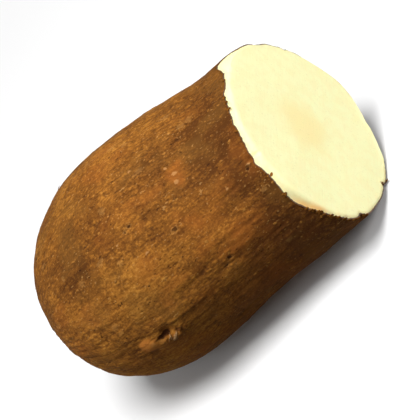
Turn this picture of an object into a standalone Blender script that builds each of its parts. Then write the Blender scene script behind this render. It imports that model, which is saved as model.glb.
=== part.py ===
"""Half of an African yam tuber, cut across and lying on its side.

The tuber is one solid. It runs along +X from its blunt lower end to the knife cut, and rests on a
small flat spot under its weight. Sizes are metres.
"""

import math
from typing import NamedTuple

import bmesh
import bpy
from mathutils import Vector, noise

# Driving dimensions of the tuber
LENGTH = 0.1525
BELLY_RADIUS = 0.052
BELLY_STATION = 0.067
END_FULLNESS = 0.045
NECK_RADIUS = 0.0467
NECK_STATION = 0.138
BEND = 0.0017
BEND_CREST = 0.078
BEND_LENGTH = 0.150

# The knife cut leans towards the tuber's best side
CUT_SLANT = math.radians(14.7)
SKIN_THICKNESS = 0.0009
SKIN_SET_BACK = 0.0007
KNIFE_WAVE = 0.0005
KNIFE_WAVE_LENGTH = 0.030
KNIFE_WAVE_FADE = 0.25

# How the half lies on a table
AXIS_TILT = math.radians(0.2)
BEST_SIDE_TURN = math.radians(58.0)
FLAT_DEPTH = 0.0019

# Relief of the skin
LUMP_HEIGHT = 0.0013
LUMP_LENGTH = 0.042
FURROW_HEIGHT = 0.0007
FURROW_LENGTH = 0.045
FURROWS_PER_RADIAN = 5.5
FURROW_FADE_RADIUS = 0.022
NOISE_OFFSET = Vector((3.1, 7.7, 1.9))

# Mesh resolution: rings from the blunt tip, along the side, over the rim and into the cut
SEGMENTS = 84
END_RINGS = 14
SIDE_RINGS = 17
EDGE_RINGS = 2
FACE_RINGS = 6
RINGS = END_RINGS + SIDE_RINGS + EDGE_RINGS + FACE_RINGS
RIM_RING = END_RINGS + SIDE_RINGS
FLESH_RING = RIM_RING + EDGE_RINGS
WHOLE_RING_TOLERANCE = 1e-3


class Mark(NamedTuple):
    """A spot raised above the skin or sunk below it, with its half sizes along and across."""

    station: float
    degrees: float
    long: float
    wide: float
    height: float


class Chip(NamedTuple):
    """A place on the rim where the knife broke the skin away."""

    degrees: float
    half_width: float
    depth: float


BUD_SCAR = Mark(station=0.0550, degrees=-37, long=0.0090, wide=0.0062, height=0.0014)
BUD_PIT = Mark(station=0.0552, degrees=-35, long=0.0034, wide=0.0020, height=-0.0034)
BUD_STUB = Mark(station=0.0582, degrees=-41, long=0.0024, wide=0.0030, height=0.0016)
CREASE = Mark(station=0.0700, degrees=-31, long=0.0130, wide=0.0030, height=0.0011)
ROOT_PIT = Mark(station=0.0780, degrees=18, long=0.0024, wide=0.0024, height=-0.0015)
LOW_PIT = Mark(station=0.0840, degrees=-10, long=0.0030, wide=0.0024, height=-0.0009)
UPPER_PIT = Mark(station=0.1070, degrees=24, long=0.0030, wide=0.0024, height=-0.0010)
BACK_SCAR = Mark(station=0.0680, degrees=158, long=0.0075, wide=0.0055, height=0.0013)
BACK_PIT = Mark(station=0.0680, degrees=158, long=0.0026, wide=0.0022, height=-0.0030)
TIP_NUB = Mark(station=0.0100, degrees=120, long=0.0050, wide=0.0050, height=0.0012)
SHOULDER = Mark(station=0.0520, degrees=96, long=0.0300, wide=0.0320, height=0.0018)
NECK_FLAT = Mark(station=0.1420, degrees=40, long=0.0400, wide=0.0300, height=-0.0022)
NECK_SWELL = Mark(station=0.1380, degrees=-82, long=0.0300, wide=0.0240, height=0.0018)
SEAT_SWELL = Mark(station=0.0900, degrees=-121, long=0.0280, wide=0.0260, height=0.0013)
SCARS = (BUD_SCAR, BUD_PIT, BUD_STUB, CREASE, BACK_SCAR, BACK_PIT, TIP_NUB)
PITS = (ROOT_PIT, LOW_PIT, UPPER_PIT)
SWELLS = (SHOULDER, NECK_FLAT, NECK_SWELL, SEAT_SWELL)
MARKS = SCARS + PITS + SWELLS

# Small pits get extra faces around them, so that their walls can be steep
FINE_MARKS = (BUD_PIT, BACK_PIT)
FINE_REACH = 0.012
FINE_PASSES = 2

CHIPS = (
    Chip(degrees=77, half_width=10, depth=0.0040),
    Chip(degrees=112, half_width=5, depth=0.0013),
    Chip(degrees=-24, half_width=16, depth=0.0016),
    Chip(degrees=-140, half_width=5, depth=0.0022),
    Chip(degrees=158, half_width=7, depth=0.0018),
)

SKIN_COLOUR = (0.235, 0.115, 0.036, 1.0)
SKIN_ROUGHNESS = 0.85
FLESH_COLOUR = (0.90, 0.83, 0.56, 1.0)
FLESH_ROUGHNESS = 0.55


def smooth_step(value):
    """Eases from 0 to 1 as value goes from 0 to 1."""
    clamped = min(max(value, 0.0), 1.0)
    return clamped * clamped * (3.0 - 2.0 * clamped)


def body_axes():
    """The tuber's axis towards the cut, its best side, and the side a quarter turn from that."""
    along = Vector((math.cos(AXIS_TILT), 0.0, math.sin(AXIS_TILT)))
    upright = Vector((-math.sin(AXIS_TILT), 0.0, math.cos(AXIS_TILT)))
    best = math.cos(BEST_SIDE_TURN) * upright - math.sin(BEST_SIDE_TURN) * Vector((0.0, 1.0, 0.0))
    return along, best, best.cross(along)


def radius_at(station):
    """Plain radius of the tuber at a station between its belly and the cut."""
    share = (station - BELLY_STATION) / (NECK_STATION - BELLY_STATION)
    return BELLY_RADIUS + (NECK_RADIUS - BELLY_RADIUS) * smooth_step(share)


def bend_at(station):
    """Sideways shift of the tuber's axis at a station."""
    return BEND * math.cos(2.0 * math.pi * (station - BEND_CREST) / BEND_LENGTH)


def chip_depth(angle):
    """How far back the rim lies at an angle, where the skin broke away."""
    depth = 0.0
    for chip in CHIPS:
        turn = math.remainder(math.degrees(angle) - chip.degrees, 360.0) / chip.half_width
        depth += chip.depth * math.exp(-turn * turn)
    return depth


def cut_station(angle, radius):
    """Where the slanted cut meets the tuber at an angle and a distance from the axis."""
    return LENGTH - math.tan(CUT_SLANT) * radius * math.cos(angle)


def mark_offset(mark, station, angle, radius):
    """Distance from a mark's middle, in half sizes, as a pair along and across the tuber."""
    turn = math.remainder(angle - math.radians(mark.degrees), 2.0 * math.pi)
    return (station - mark.station) / mark.long, turn * radius / mark.wide


def marks_height(station, angle, radius):
    """Height of all the scars, pits and the crease at a point of the skin."""
    height = 0.0
    for mark in MARKS:
        away, across = mark_offset(mark, station, angle, radius)
        height += mark.height * math.exp(-(away * away + across * across))
    return height


def skin_relief(station, angle, radius):
    """Height of the skin's lumps, furrows and marks over the plain shape."""
    round_x, round_y = math.cos(angle), math.sin(angle)
    place = Vector((radius * round_x, radius * round_y, station)) / LUMP_LENGTH + NOISE_OFFSET
    lumps = LUMP_HEIGHT * noise.noise(place)
    fade = smooth_step(radius / FURROW_FADE_RADIUS)
    strand = Vector((round_x * FURROWS_PER_RADIAN, round_y * FURROWS_PER_RADIAN, station / FURROW_LENGTH))
    furrows = FURROW_HEIGHT * fade * noise.noise(strand - NOISE_OFFSET)
    return lumps + furrows + marks_height(station, angle, radius)


def knife_relief(across, up):
    """Gentle unevenness that the knife left on the cut."""
    return KNIFE_WAVE * noise.noise(Vector((across, up, 0.0)) / KNIFE_WAVE_LENGTH + NOISE_OFFSET)


def side_place(ring, angle):
    """(station, distance from the axis) of the skin on a ring between the tip and the rim."""
    if ring <= END_RINGS:
        latitude = 0.5 * math.pi * ring / END_RINGS
        fullness = 1.0 + END_FULLNESS * math.sin(2.0 * latitude) ** 2
        station = BELLY_STATION * (1.0 - fullness * math.cos(latitude))
        radius = BELLY_RADIUS * fullness * math.sin(latitude)
    else:
        share = (ring - END_RINGS) / SIDE_RINGS
        rim = cut_station(angle, NECK_RADIUS) - chip_depth(angle) - SKIN_SET_BACK
        station = BELLY_STATION + share * (rim - BELLY_STATION)
        radius = radius_at(station)
    return station, radius + skin_relief(station, angle, radius)


def cut_place(ring, angle):
    """(station, distance from the axis) of the cut face on a ring inside the rim."""
    rim_station, rim_radius = side_place(RIM_RING, angle)
    edge = rim_radius - SKIN_THICKNESS
    if ring < FLESH_RING:
        share = (ring - RIM_RING) / EDGE_RINGS
        whole = cut_station(angle, rim_radius)
        return rim_station + share * (whole - rim_station), rim_radius - share * SKIN_THICKNESS
    share = (ring - FLESH_RING) / FACE_RINGS
    radius = edge * (1.0 - share)
    relief = knife_relief(radius * math.cos(angle), radius * math.sin(angle))
    return cut_station(angle, radius) + relief * smooth_step(share / KNIFE_WAVE_FADE), radius


def tuber_point(ring, angle):
    """A surface point of the tuber, before it is laid down."""
    along, best, quarter = body_axes()
    station, radius = side_place(ring, angle) if ring <= RIM_RING else cut_place(ring, angle)
    outward = math.cos(angle) * best + math.sin(angle) * quarter
    return along * station + outward * radius + quarter * bend_at(station)


def ring_and_angle(point):
    """Ring number, counted from the blunt tip, and angle of a point on the unit sphere."""
    polar = math.acos(min(max(point.normalized().z, -1.0), 1.0))
    return polar / math.pi * RINGS, math.atan2(point.y, point.x)


def near_fine_mark(point):
    """True where a point of the unit sphere becomes skin beside a small pit."""
    ring, angle = ring_and_angle(point)
    if ring > RIM_RING:
        return False
    station, radius = side_place(ring, angle)
    for mark in FINE_MARKS:
        away, across = mark_offset(mark, station, angle, radius)
        if math.hypot(away * mark.long, across * mark.wide) < FINE_REACH:
            return True
    return False


def refine_round_marks(mesh):
    """Splits the sphere's faces beside the small pits, so that their walls can be steep."""
    for _ in range(FINE_PASSES):
        edges = [e for e in mesh.edges if all(near_fine_mark(v.co) for v in e.verts)]
        bmesh.ops.subdivide_edges(mesh, edges=edges, cuts=1, use_grid_fill=True)


def lay_down(mesh):
    """Drops the tuber onto z = 0, flattens the spot that it rests on and centres it."""
    lowest = min(v.co.z for v in mesh.verts) + FLAT_DEPTH
    middle_x = 0.5 * (min(v.co.x for v in mesh.verts) + max(v.co.x for v in mesh.verts))
    middle_y = 0.5 * (min(v.co.y for v in mesh.verts) + max(v.co.y for v in mesh.verts))
    for vertex in mesh.verts:
        vertex.co -= Vector((middle_x, middle_y, lowest))
        vertex.co.z = max(0.0, vertex.co.z)


def plain_material(name, colour, roughness):
    """A Principled material of one colour."""
    material = bpy.data.materials.new(name)
    material.use_nodes = True
    shader = material.node_tree.nodes["Principled BSDF"]
    shader.inputs["Base Color"].default_value = colour
    shader.inputs["Roughness"].default_value = roughness
    shader.inputs["Metallic"].default_value = 0.0
    return material


def make_tuber(collection):
    """Shapes a sphere into the cut tuber: its poles become the blunt tip and the cut's middle."""
    mesh = bmesh.new()
    bmesh.ops.create_uvsphere(mesh, u_segments=SEGMENTS, v_segments=RINGS, radius=1.0)
    refine_round_marks(mesh)
    rings = {}
    for vertex in mesh.verts:
        ring, angle = ring_and_angle(vertex.co)
        if abs(ring - round(ring)) < WHOLE_RING_TOLERANCE:
            ring = round(ring)
        rings[vertex] = ring
        vertex.co = tuber_point(ring, angle)
    for face in mesh.faces:
        face.smooth = True
        face.material_index = int(min(rings[v] for v in face.verts) >= RIM_RING)
    lay_down(mesh)
    bmesh.ops.triangulate(mesh, faces=mesh.faces[:])
    bmesh.ops.recalc_face_normals(mesh, faces=mesh.faces[:])
    data = bpy.data.meshes.new("yam_half")
    mesh.to_mesh(data)
    mesh.free()
    data.materials.append(plain_material("yam_skin", SKIN_COLOUR, SKIN_ROUGHNESS))
    data.materials.append(plain_material("yam_flesh", FLESH_COLOUR, FLESH_ROUGHNESS))
    tuber = bpy.data.objects.new("yam_half", data)
    collection.objects.link(tuber)
    return tuber


def main():
    """Clears the scene and builds the cut tuber."""
    for obj in list(bpy.data.objects):
        bpy.data.objects.remove(obj)
    collection = bpy.data.collections.new("african_yam")
    bpy.context.scene.collection.children.link(collection)
    make_tuber(collection)


main()
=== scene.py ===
"""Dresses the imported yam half: corky skin, fresh cut, bud scar, torn skin at the rim and rootlets.

All sizes are metres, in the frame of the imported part. Places on the tuber are given by a station
(distance along its axis from the blunt tip), an angle round the axis and a distance from the axis.
Angle 0 is the tuber's best side, which looks towards the camera.
"""

import logging
import math
from collections.abc import Sequence
from dataclasses import dataclass, field
from enum import Enum
from typing import NamedTuple

import bpy
import numpy as np
from mathutils import Matrix, Vector, noise
from mathutils.bvhtree import BVHTree


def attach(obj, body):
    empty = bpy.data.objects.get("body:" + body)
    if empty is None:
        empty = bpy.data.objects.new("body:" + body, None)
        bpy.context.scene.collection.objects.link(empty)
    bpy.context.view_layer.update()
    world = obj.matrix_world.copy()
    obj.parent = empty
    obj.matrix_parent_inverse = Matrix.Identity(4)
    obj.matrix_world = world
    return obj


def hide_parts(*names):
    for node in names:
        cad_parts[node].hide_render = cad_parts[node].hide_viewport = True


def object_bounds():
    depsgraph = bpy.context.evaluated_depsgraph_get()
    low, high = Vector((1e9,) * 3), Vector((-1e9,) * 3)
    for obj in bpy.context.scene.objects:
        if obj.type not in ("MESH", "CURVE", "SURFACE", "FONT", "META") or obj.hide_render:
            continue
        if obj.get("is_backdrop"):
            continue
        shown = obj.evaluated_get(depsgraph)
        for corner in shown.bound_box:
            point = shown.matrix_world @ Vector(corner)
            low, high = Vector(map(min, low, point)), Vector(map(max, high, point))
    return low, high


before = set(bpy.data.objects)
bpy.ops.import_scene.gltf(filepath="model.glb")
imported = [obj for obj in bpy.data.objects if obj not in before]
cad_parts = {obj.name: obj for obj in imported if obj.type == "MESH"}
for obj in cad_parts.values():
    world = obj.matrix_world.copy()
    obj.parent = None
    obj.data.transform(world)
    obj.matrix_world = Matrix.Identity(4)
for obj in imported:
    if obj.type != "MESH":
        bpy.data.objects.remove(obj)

LOG = logging.getLogger("yam_half")
NODE = "yam_half"
BODY = "root"
MM = 0.001
Colour = tuple[float, float, float]
Band = tuple[float, float]
Triple = tuple[float, float, float]
BLACK: Colour = (0.0, 0.0, 0.0)


class Zone(Enum):
    """The two finishes of the tuber's mesh, by material slot."""

    BARK = 0
    CUT = 1


class Slot(Enum):
    """The material slots."""

    SKIN = "skin"
    FLESH = "flesh"


class Layer(Enum):
    """Layers of noise, each with a slide of its own, so that no two look alike."""

    WRINKLE = 3.0
    RAGGED_RIM = 5.3
    WANDERING_RIM = 8.1
    WAVE = 11.0
    FURROW = 17.0
    PEBBLED = 23.0
    PEBBLE = 29.0
    SCAR_FIBRE = 41.0
    TORN_ALONG = 51.0
    TORN_ROUND = 57.0
    SHADE_ALONG = 61.0
    SHADE_ROUND = 67.0


class Polar(NamedTuple):
    """Places on the tuber: their stations, their angles and their distances from the axis."""

    station: np.ndarray
    angle: np.ndarray
    radius: np.ndarray


def rgba(colour: Colour) -> tuple[float, float, float, float]:
    """A colour with full alpha."""
    return (*colour, 1.0)


def smooth_step(values: np.ndarray | float, low: float = 0.0, high: float = 1.0) -> np.ndarray:
    """Eases from 0 at low to 1 at high.

    Args:
        values: Numbers to ease.
        low: Where the rise starts.
        high: Where the rise ends.

    Returns:
        Numbers from 0 to 1.
    """
    share = np.clip((np.asarray(values, dtype=float) - low) / (high - low), 0.0, 1.0)
    return share * share * (3.0 - 2.0 * share)


def turn_between(angles: np.ndarray, middle: float) -> np.ndarray:
    """Smallest turn from a middle angle to each angle, in radians."""
    return (np.asarray(angles) - middle + math.pi) % (2.0 * math.pi) - math.pi


def noise_at(places: np.ndarray, size: float | Sequence[float], layer: Layer) -> np.ndarray:
    """Smooth noise at many places.

    Args:
        places: One place a row.
        size: Width of the noise's blobs, one for all axes or one for each.
        layer: Which layer of noise.

    Returns:
        One number a place, about -1 to 1.
    """
    scaled = places / np.asarray(size) + layer.value
    return np.array([noise.noise(place) for place in scaled.tolist()])


def deselect_all() -> None:
    """Leaves object mode with nothing selected, so that an operator acts only on what follows."""
    if bpy.context.object and bpy.context.object.mode != "OBJECT":
        bpy.ops.object.mode_set(mode="OBJECT")
    bpy.ops.object.select_all(action="DESELECT")


def make_active(piece: bpy.types.Object) -> None:
    """Selects one piece alone and makes it the active one.

    Args:
        piece: The piece.
    """
    deselect_all()
    piece.select_set(True)
    bpy.context.view_layer.objects.active = piece


def turn_outwards(merge: float = 0.0) -> None:
    """Turns the active mesh's faces outwards.

    Args:
        merge: Distance under which vertices are merged, 0 to merge none.
    """
    bpy.ops.object.mode_set(mode="EDIT")
    bpy.ops.mesh.select_all(action="SELECT")
    if merge:
        bpy.ops.mesh.remove_doubles(threshold=merge)
    bpy.ops.mesh.normals_make_consistent(inside=False)
    bpy.ops.object.mode_set(mode="OBJECT")


def dress(piece: bpy.types.Object, material: bpy.types.Material) -> None:
    """Gives a piece one material."""
    piece.data.materials.clear()
    piece.data.materials.append(material)


def vectors(items: bpy.types.bpy_prop_collection, key: str) -> np.ndarray:
    """Reads one vector from each item of a mesh.

    Args:
        items: The mesh's vertices or their normals.
        key: Name of the vector.

    Returns:
        One vector a row.
    """
    flat = np.empty(len(items) * 3)
    items.foreach_get(key, flat)
    return flat.reshape(-1, 3)


def coordinates(mesh: bpy.types.Mesh) -> np.ndarray:
    """The places of a mesh's vertices, one a row."""
    return vectors(mesh.vertices, "co")


def set_coordinates(mesh: bpy.types.Mesh, places: np.ndarray) -> None:
    """Moves a mesh's vertices."""
    mesh.vertices.foreach_set("co", places.ravel())
    mesh.update()


def vertex_normals(mesh: bpy.types.Mesh) -> np.ndarray:
    """Outward directions at a mesh's vertices, one a row."""
    return vectors(mesh.vertex_normals, "vector")


def write_attribute(mesh: bpy.types.Mesh, name: str, values: np.ndarray) -> None:
    """Stores one number or one vector at each vertex, for the materials to read.

    Args:
        mesh: The mesh.
        name: Name that the materials read.
        values: One number, or a row of three, for each vertex.
    """
    kind, key = ("FLOAT_VECTOR", "vector") if values.ndim == 2 else ("FLOAT", "value")
    attribute = mesh.attributes.new(name, kind, "POINT")
    attribute.data.foreach_set(key, values.ravel())


def ray_tree(mesh: bpy.types.Mesh) -> BVHTree:
    """A tree of a mesh's faces, which rays can be shot at."""
    places = [vertex.co.copy() for vertex in mesh.vertices]
    return BVHTree.FromPolygons(places, [tuple(face.vertices) for face in mesh.polygons])


@dataclass(frozen=True)
class Lie:
    """How the tuber lies in the frame."""

    start: Triple = (-0.0823, -0.0004, 0.0501)
    tilt: float = math.radians(0.2)
    best_side_turn: float = math.radians(58.0)

    @property
    def along(self) -> Vector:
        """The axis, from the blunt tip towards the cut."""
        return Vector((math.cos(self.tilt), 0.0, math.sin(self.tilt)))

    @property
    def best(self) -> Vector:
        """Where angle 0 faces: the tuber's best side."""
        upright = Vector((-math.sin(self.tilt), 0.0, math.cos(self.tilt)))
        turn = self.best_side_turn
        return math.cos(turn) * upright - math.sin(turn) * Vector((0.0, 1.0, 0.0))

    @property
    def quarter(self) -> Vector:
        """Where a quarter turn from the best side faces."""
        return self.best.cross(self.along)

    def outward(self, angle: float) -> Vector:
        """The direction away from the axis at an angle."""
        return self.best * math.cos(angle) + self.quarter * math.sin(angle)

    def place(self, station: float, angle: float, radius: float = 0.0) -> Vector:
        """A point at a station, an angle and a distance from the axis."""
        return Vector(self.start) + self.along * station + self.outward(angle) * radius

    def read(self, places: np.ndarray) -> Polar:
        """Finds where points lie on the tuber.

        Args:
            places: One point a row.

        Returns:
            Their stations, angles and distances from the axis.
        """
        away = places - np.array(self.start)
        side, up = away @ np.array(self.best), away @ np.array(self.quarter)
        return Polar(away @ np.array(self.along), np.arctan2(up, side), np.hypot(side, up))


@dataclass
class SolidProbe:
    """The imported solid, smoothed, which rays are shot at to measure it."""

    node: bpy.types.Object
    merge: float = 0.02 * MM
    sharp_edge: float = math.radians(30.0)
    smooth_levels: int = 2
    reach: float = 0.2
    tree: BVHTree = field(init=False)

    def __post_init__(self) -> None:
        """Copies and smooths the node, which stays as it is, and keeps a ray tree of the copy."""
        deselect_all()
        copy = self.node.copy()
        copy.data = self.node.data.copy()
        bpy.context.collection.objects.link(copy)
        make_active(copy)
        bpy.ops.object.mode_set(mode="EDIT")
        bpy.ops.mesh.select_all(action="SELECT")
        bpy.ops.mesh.remove_doubles(threshold=self.merge)
        bpy.ops.mesh.tris_convert_to_quads()
        bpy.ops.mesh.select_all(action="DESELECT")
        bpy.ops.mesh.edges_select_sharp(sharpness=self.sharp_edge)
        bpy.ops.transform.edge_crease(value=1.0)
        bpy.ops.object.mode_set(mode="OBJECT")
        smooth = copy.modifiers.new("smooth", "SUBSURF")
        smooth.levels = smooth.render_levels = self.smooth_levels
        bpy.ops.object.modifier_apply(modifier=smooth.name)
        self.tree = ray_tree(copy.data)
        mesh = copy.data
        bpy.data.objects.remove(copy)
        bpy.data.meshes.remove(mesh)

    def hit(self, start: Vector, direction: Vector) -> Vector:
        """Where a ray meets the solid's surface.

        Args:
            start: Where the ray starts.
            direction: Where it goes.

        Returns:
            The first point that it meets.
        """
        place, _, _, _ = self.tree.ray_cast(start, direction)
        if place is None:
            raise ValueError(f"a ray from {tuple(start)} misses the solid")
        return place

    def radius(self, lie: Lie, station: float, angle: float) -> float:
        """Distance of the side from the axis at a station and an angle."""
        start = lie.place(station, angle, self.reach)
        return self.reach - (self.hit(start, -lie.outward(angle)) - start).length


@dataclass
class Skin:
    """The dressed skin, for placing small things on it."""

    piece: bpy.types.Object
    tuber: "Tuber"
    reach: float = 0.2
    tree: BVHTree = field(init=False)

    def __post_init__(self) -> None:
        """Keeps a ray tree of the finished tuber."""
        self.tree = ray_tree(self.piece.data)

    def spot(self, station: float, angle: float) -> tuple[Vector, Vector]:
        """The skin's point and outward direction at a station and an angle.

        Args:
            station: Distance along the axis.
            angle: Angle round the axis.

        Returns:
            The point, and the direction that its face looks in.
        """
        lie = self.tuber.lie
        place, normal, _, _ = self.tree.ray_cast(lie.place(station, angle, self.reach), -lie.outward(angle))
        if place is None:
            raise ValueError(f"no skin at station {station} and angle {angle}")
        return place, normal

    def towards_cut(self, normal: Vector) -> Vector:
        """The way along the skin towards the cut, where the skin faces a direction."""
        along = self.tuber.lie.along
        return (along - along.dot(normal) * normal).normalized()


@dataclass(frozen=True)
class Notch:
    """A place on the rim where something is missing, or added if its depth is below 0.

    The angle of its middle and its half width are in degrees.
    """

    degrees: float
    half_width: float
    depth: float

    def amount(self, angles: np.ndarray) -> np.ndarray:
        """How much is missing at each angle."""
        turn = np.degrees(turn_between(angles, math.radians(self.degrees)))
        return self.depth * np.exp(-((turn / self.half_width) ** 2))


@dataclass(frozen=True)
class Dent:
    """A raised or sunken spot on the skin, with half sizes along and across the tuber.

    In a mark that only colours the skin, the height is the change of tone or the share of colour.
    """

    station: float
    degrees: float
    long: float
    wide: float
    height: float
    steep: float = 2.0

    def share(self, at: Polar) -> np.ndarray:
        """How much places belong to the spot.

        Args:
            at: The places.

        Returns:
            One number a place, 1 at the spot's middle and 0 far away.
        """
        along = (at.station - self.station) / self.long
        across = turn_between(at.angle, math.radians(self.degrees)) * at.radius / self.wide
        return np.exp(-(np.hypot(along, across) ** self.steep))

    def amount(self, at: Polar) -> np.ndarray:
        """Height that the spot adds at each place."""
        return self.height * self.share(at)


class Rim(NamedTuple):
    """The rim at one angle.

    It holds the neck's distance from the axis, how far the outline is cut in and swells there, how
    far behind the cut the skin is torn, and the station where the whole cut would end.
    """

    neck: float
    nick: float
    swell: float
    gap: float
    whole: float

    @property
    def outer(self) -> float:
        """Distance of the skin's torn edge from the axis."""
        return self.neck + self.swell - self.nick


@dataclass(frozen=True)
class CutFace:
    """The knife cut: where it crosses the axis, how it leans, and its broken edge.

    The chips tear the skin back from the cut and bare the flesh, the nicks cut the outline in, and
    the swells change the neck's radius over a longer reach. Flesh that a chip bares leans inwards by
    a share of its length, and is coloured as if it lay inside the skin by another share of it.
    """

    station: float = 0.1525
    slant: float = math.radians(14.7)
    skin_thickness: float = 0.9 * MM
    edge_inset: tuple[float, ...] = (0.0, 0.55, 0.72, 0.87, 1.0)
    edge_advance: tuple[float, ...] = (0.0, 0.10, 0.36, 0.68, 1.0)
    set_back: float = 0.25 * MM
    ragged: float = 0.55 * MM
    ragged_size: float = 1.8 * MM
    wander: float = 0.55 * MM
    wander_size: float = 5.5 * MM
    measured_behind: float = 5.5 * MM
    measured_inside: float = 1.6 * MM
    probe_depth: float = 40.0 * MM
    probe_fade: float = 0.2
    nick_reach: float = 3.0 * MM
    swell_reach: float = 36.0 * MM
    lean: float = 0.45
    most_lean: float = 1.2 * MM
    bared: float = 0.7
    chips: tuple[Notch, ...] = (
        Notch(degrees=80.0, half_width=12.0, depth=7.6 * MM),
        Notch(degrees=47.0, half_width=5.0, depth=1.3 * MM),
        Notch(degrees=32.0, half_width=20.0, depth=1.5 * MM),
        Notch(degrees=2.0, half_width=14.0, depth=2.0 * MM),
        Notch(degrees=-28.0, half_width=16.0, depth=3.2 * MM),
        Notch(degrees=61.0, half_width=2.2, depth=0.8 * MM),
        Notch(degrees=27.0, half_width=1.8, depth=0.5 * MM),
        Notch(degrees=1.0, half_width=2.0, depth=0.7 * MM),
        Notch(degrees=-52.0, half_width=2.4, depth=0.5 * MM),
        Notch(degrees=-63.0, half_width=2.0, depth=0.7 * MM),
        Notch(degrees=112.0, half_width=5.0, depth=1.3 * MM),
        Notch(degrees=-140.0, half_width=5.0, depth=2.0 * MM),
        Notch(degrees=158.0, half_width=7.0, depth=1.1 * MM),
    )
    nicks: tuple[Notch, ...] = (
        Notch(degrees=-113.0, half_width=1.3, depth=2.6 * MM),
        Notch(degrees=-158.0, half_width=3.0, depth=1.2 * MM),
        Notch(degrees=5.0, half_width=1.2, depth=0.8 * MM),
        Notch(degrees=-75.0, half_width=2.4, depth=1.3 * MM),
        Notch(degrees=134.0, half_width=1.4, depth=0.9 * MM),
    )
    swells: tuple[Notch, ...] = (
        Notch(degrees=84.0, half_width=16.0, depth=-1.4 * MM),
        Notch(degrees=160.0, half_width=12.0, depth=-1.3 * MM),
        Notch(degrees=179.0, half_width=17.0, depth=-3.7 * MM),
        Notch(degrees=-134.0, half_width=18.0, depth=-2.2 * MM),
        Notch(degrees=-92.0, half_width=9.0, depth=1.1 * MM),
        Notch(degrees=-76.0, half_width=6.0, depth=0.8 * MM),
    )

    @property
    def edge_rings(self) -> int:
        """Rings of mesh between the skin's torn edge and the cut face."""
        return len(self.edge_inset) - 1

    def station_at(self, angle: np.ndarray, radius: np.ndarray) -> np.ndarray:
        """Where the plain cut meets a point at an angle and a distance from the axis."""
        return self.station - math.tan(self.slant) * radius * np.cos(angle)

    def skin_gap(self, angle: np.ndarray, radius: np.ndarray) -> np.ndarray:
        """How far behind the cut the skin's torn edge lies at each angle.

        Args:
            angle: The angles.
            radius: Distance of the skin from the axis at each.

        Returns:
            One distance an angle.
        """
        rim = np.stack([radius * np.cos(angle), radius * np.sin(angle), np.zeros_like(angle)], axis=1)
        ragged = np.maximum(0.0, noise_at(rim, self.ragged_size, Layer.RAGGED_RIM))
        wander = np.maximum(0.0, noise_at(rim, self.wander_size, Layer.WANDERING_RIM))
        gap = self.set_back + self.ragged * ragged + self.wander * wander
        return sum((chip.amount(angle) for chip in self.chips), start=gap)

    def nick_depth(self, angle: np.ndarray) -> np.ndarray:
        """How far the outline is cut in at each angle."""
        return sum(nick.amount(angle) for nick in self.nicks)

    def swelling(self, angle: np.ndarray) -> np.ndarray:
        """How far the neck widens towards the cut at each angle."""
        return -sum(swell.amount(angle) for swell in self.swells)

    def lean_in(self, gap: float) -> float:
        """How far the bared flesh leans inwards between the skin's edge and the cut."""
        return min(self.lean * gap, self.most_lean)


@dataclass(frozen=True)
class Relief:
    """Heights of the corky skin over the plain solid.

    Two kinds of knot in three are raised, and the third is sunken.
    """

    wave: float = 0.30 * MM
    wave_size: float = 13.0 * MM
    wrinkle: float = 0.34 * MM
    wrinkle_size: Triple = (5.2 * MM, 5.2 * MM, 34.0 * MM)
    wrinkle_sharpness: float = 2.2
    furrow: float = 0.20 * MM
    furrow_size: Triple = (2.9 * MM, 2.9 * MM, 15.0 * MM)
    pebble: float = 0.16 * MM
    pebble_size: Triple = (1.9 * MM, 1.9 * MM, 3.0 * MM)
    least_pebbled: float = 0.35
    pebbled_size: float = 12.0 * MM
    pebbled_edge: Band = (-0.2, 0.4)
    knots: int = 64
    knot_stations: Band = (0.006, 0.138)
    knot_height: Band = (0.15 * MM, 0.50 * MM)
    knot_kinds: tuple[float, ...] = (1.0, 1.0, -0.9)
    knot_size: Band = (0.8 * MM, 1.6 * MM)
    knot_length: float = 1.3
    seed: int = 7

    def heights(self, place: np.ndarray, grain: np.ndarray) -> np.ndarray:
        """Waves, wrinkles, furrows and pebbles.

        Args:
            place: Points of the plain skin.
            grain: The same points in coordinates that follow the skin.

        Returns:
            Heights in metres.
        """
        waves = self.wave * noise_at(place, self.wave_size, Layer.WAVE)
        lines = np.abs(noise_at(grain, self.wrinkle_size, Layer.WRINKLE)) * self.wrinkle_sharpness
        wrinkles = -self.wrinkle * np.clip(1.0 - lines, 0.0, 1.0) ** 3
        furrows = self.furrow * noise_at(grain, self.furrow_size, Layer.FURROW)
        pebbled = smooth_step(noise_at(place, self.pebbled_size, Layer.PEBBLED), *self.pebbled_edge)
        depth = self.pebble * (self.least_pebbled + pebbled)
        return waves + wrinkles + furrows + depth * noise_at(grain, self.pebble_size, Layer.PEBBLE)

    def knot_marks(self) -> list[Dent]:
        """Root bases strewn over the skin, from a seeded draw.

        Returns:
            The knots, as spots on the skin.
        """
        draw = np.random.default_rng(self.seed)
        marks = []
        for _ in range(self.knots):
            size = draw.uniform(*self.knot_size)
            height = draw.uniform(*self.knot_height) * draw.choice(self.knot_kinds)
            place = {"station": draw.uniform(*self.knot_stations), "degrees": draw.uniform(-180.0, 180.0)}
            marks.append(Dent(**place, long=self.knot_length * size, wide=size, height=height))
        return marks


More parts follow.
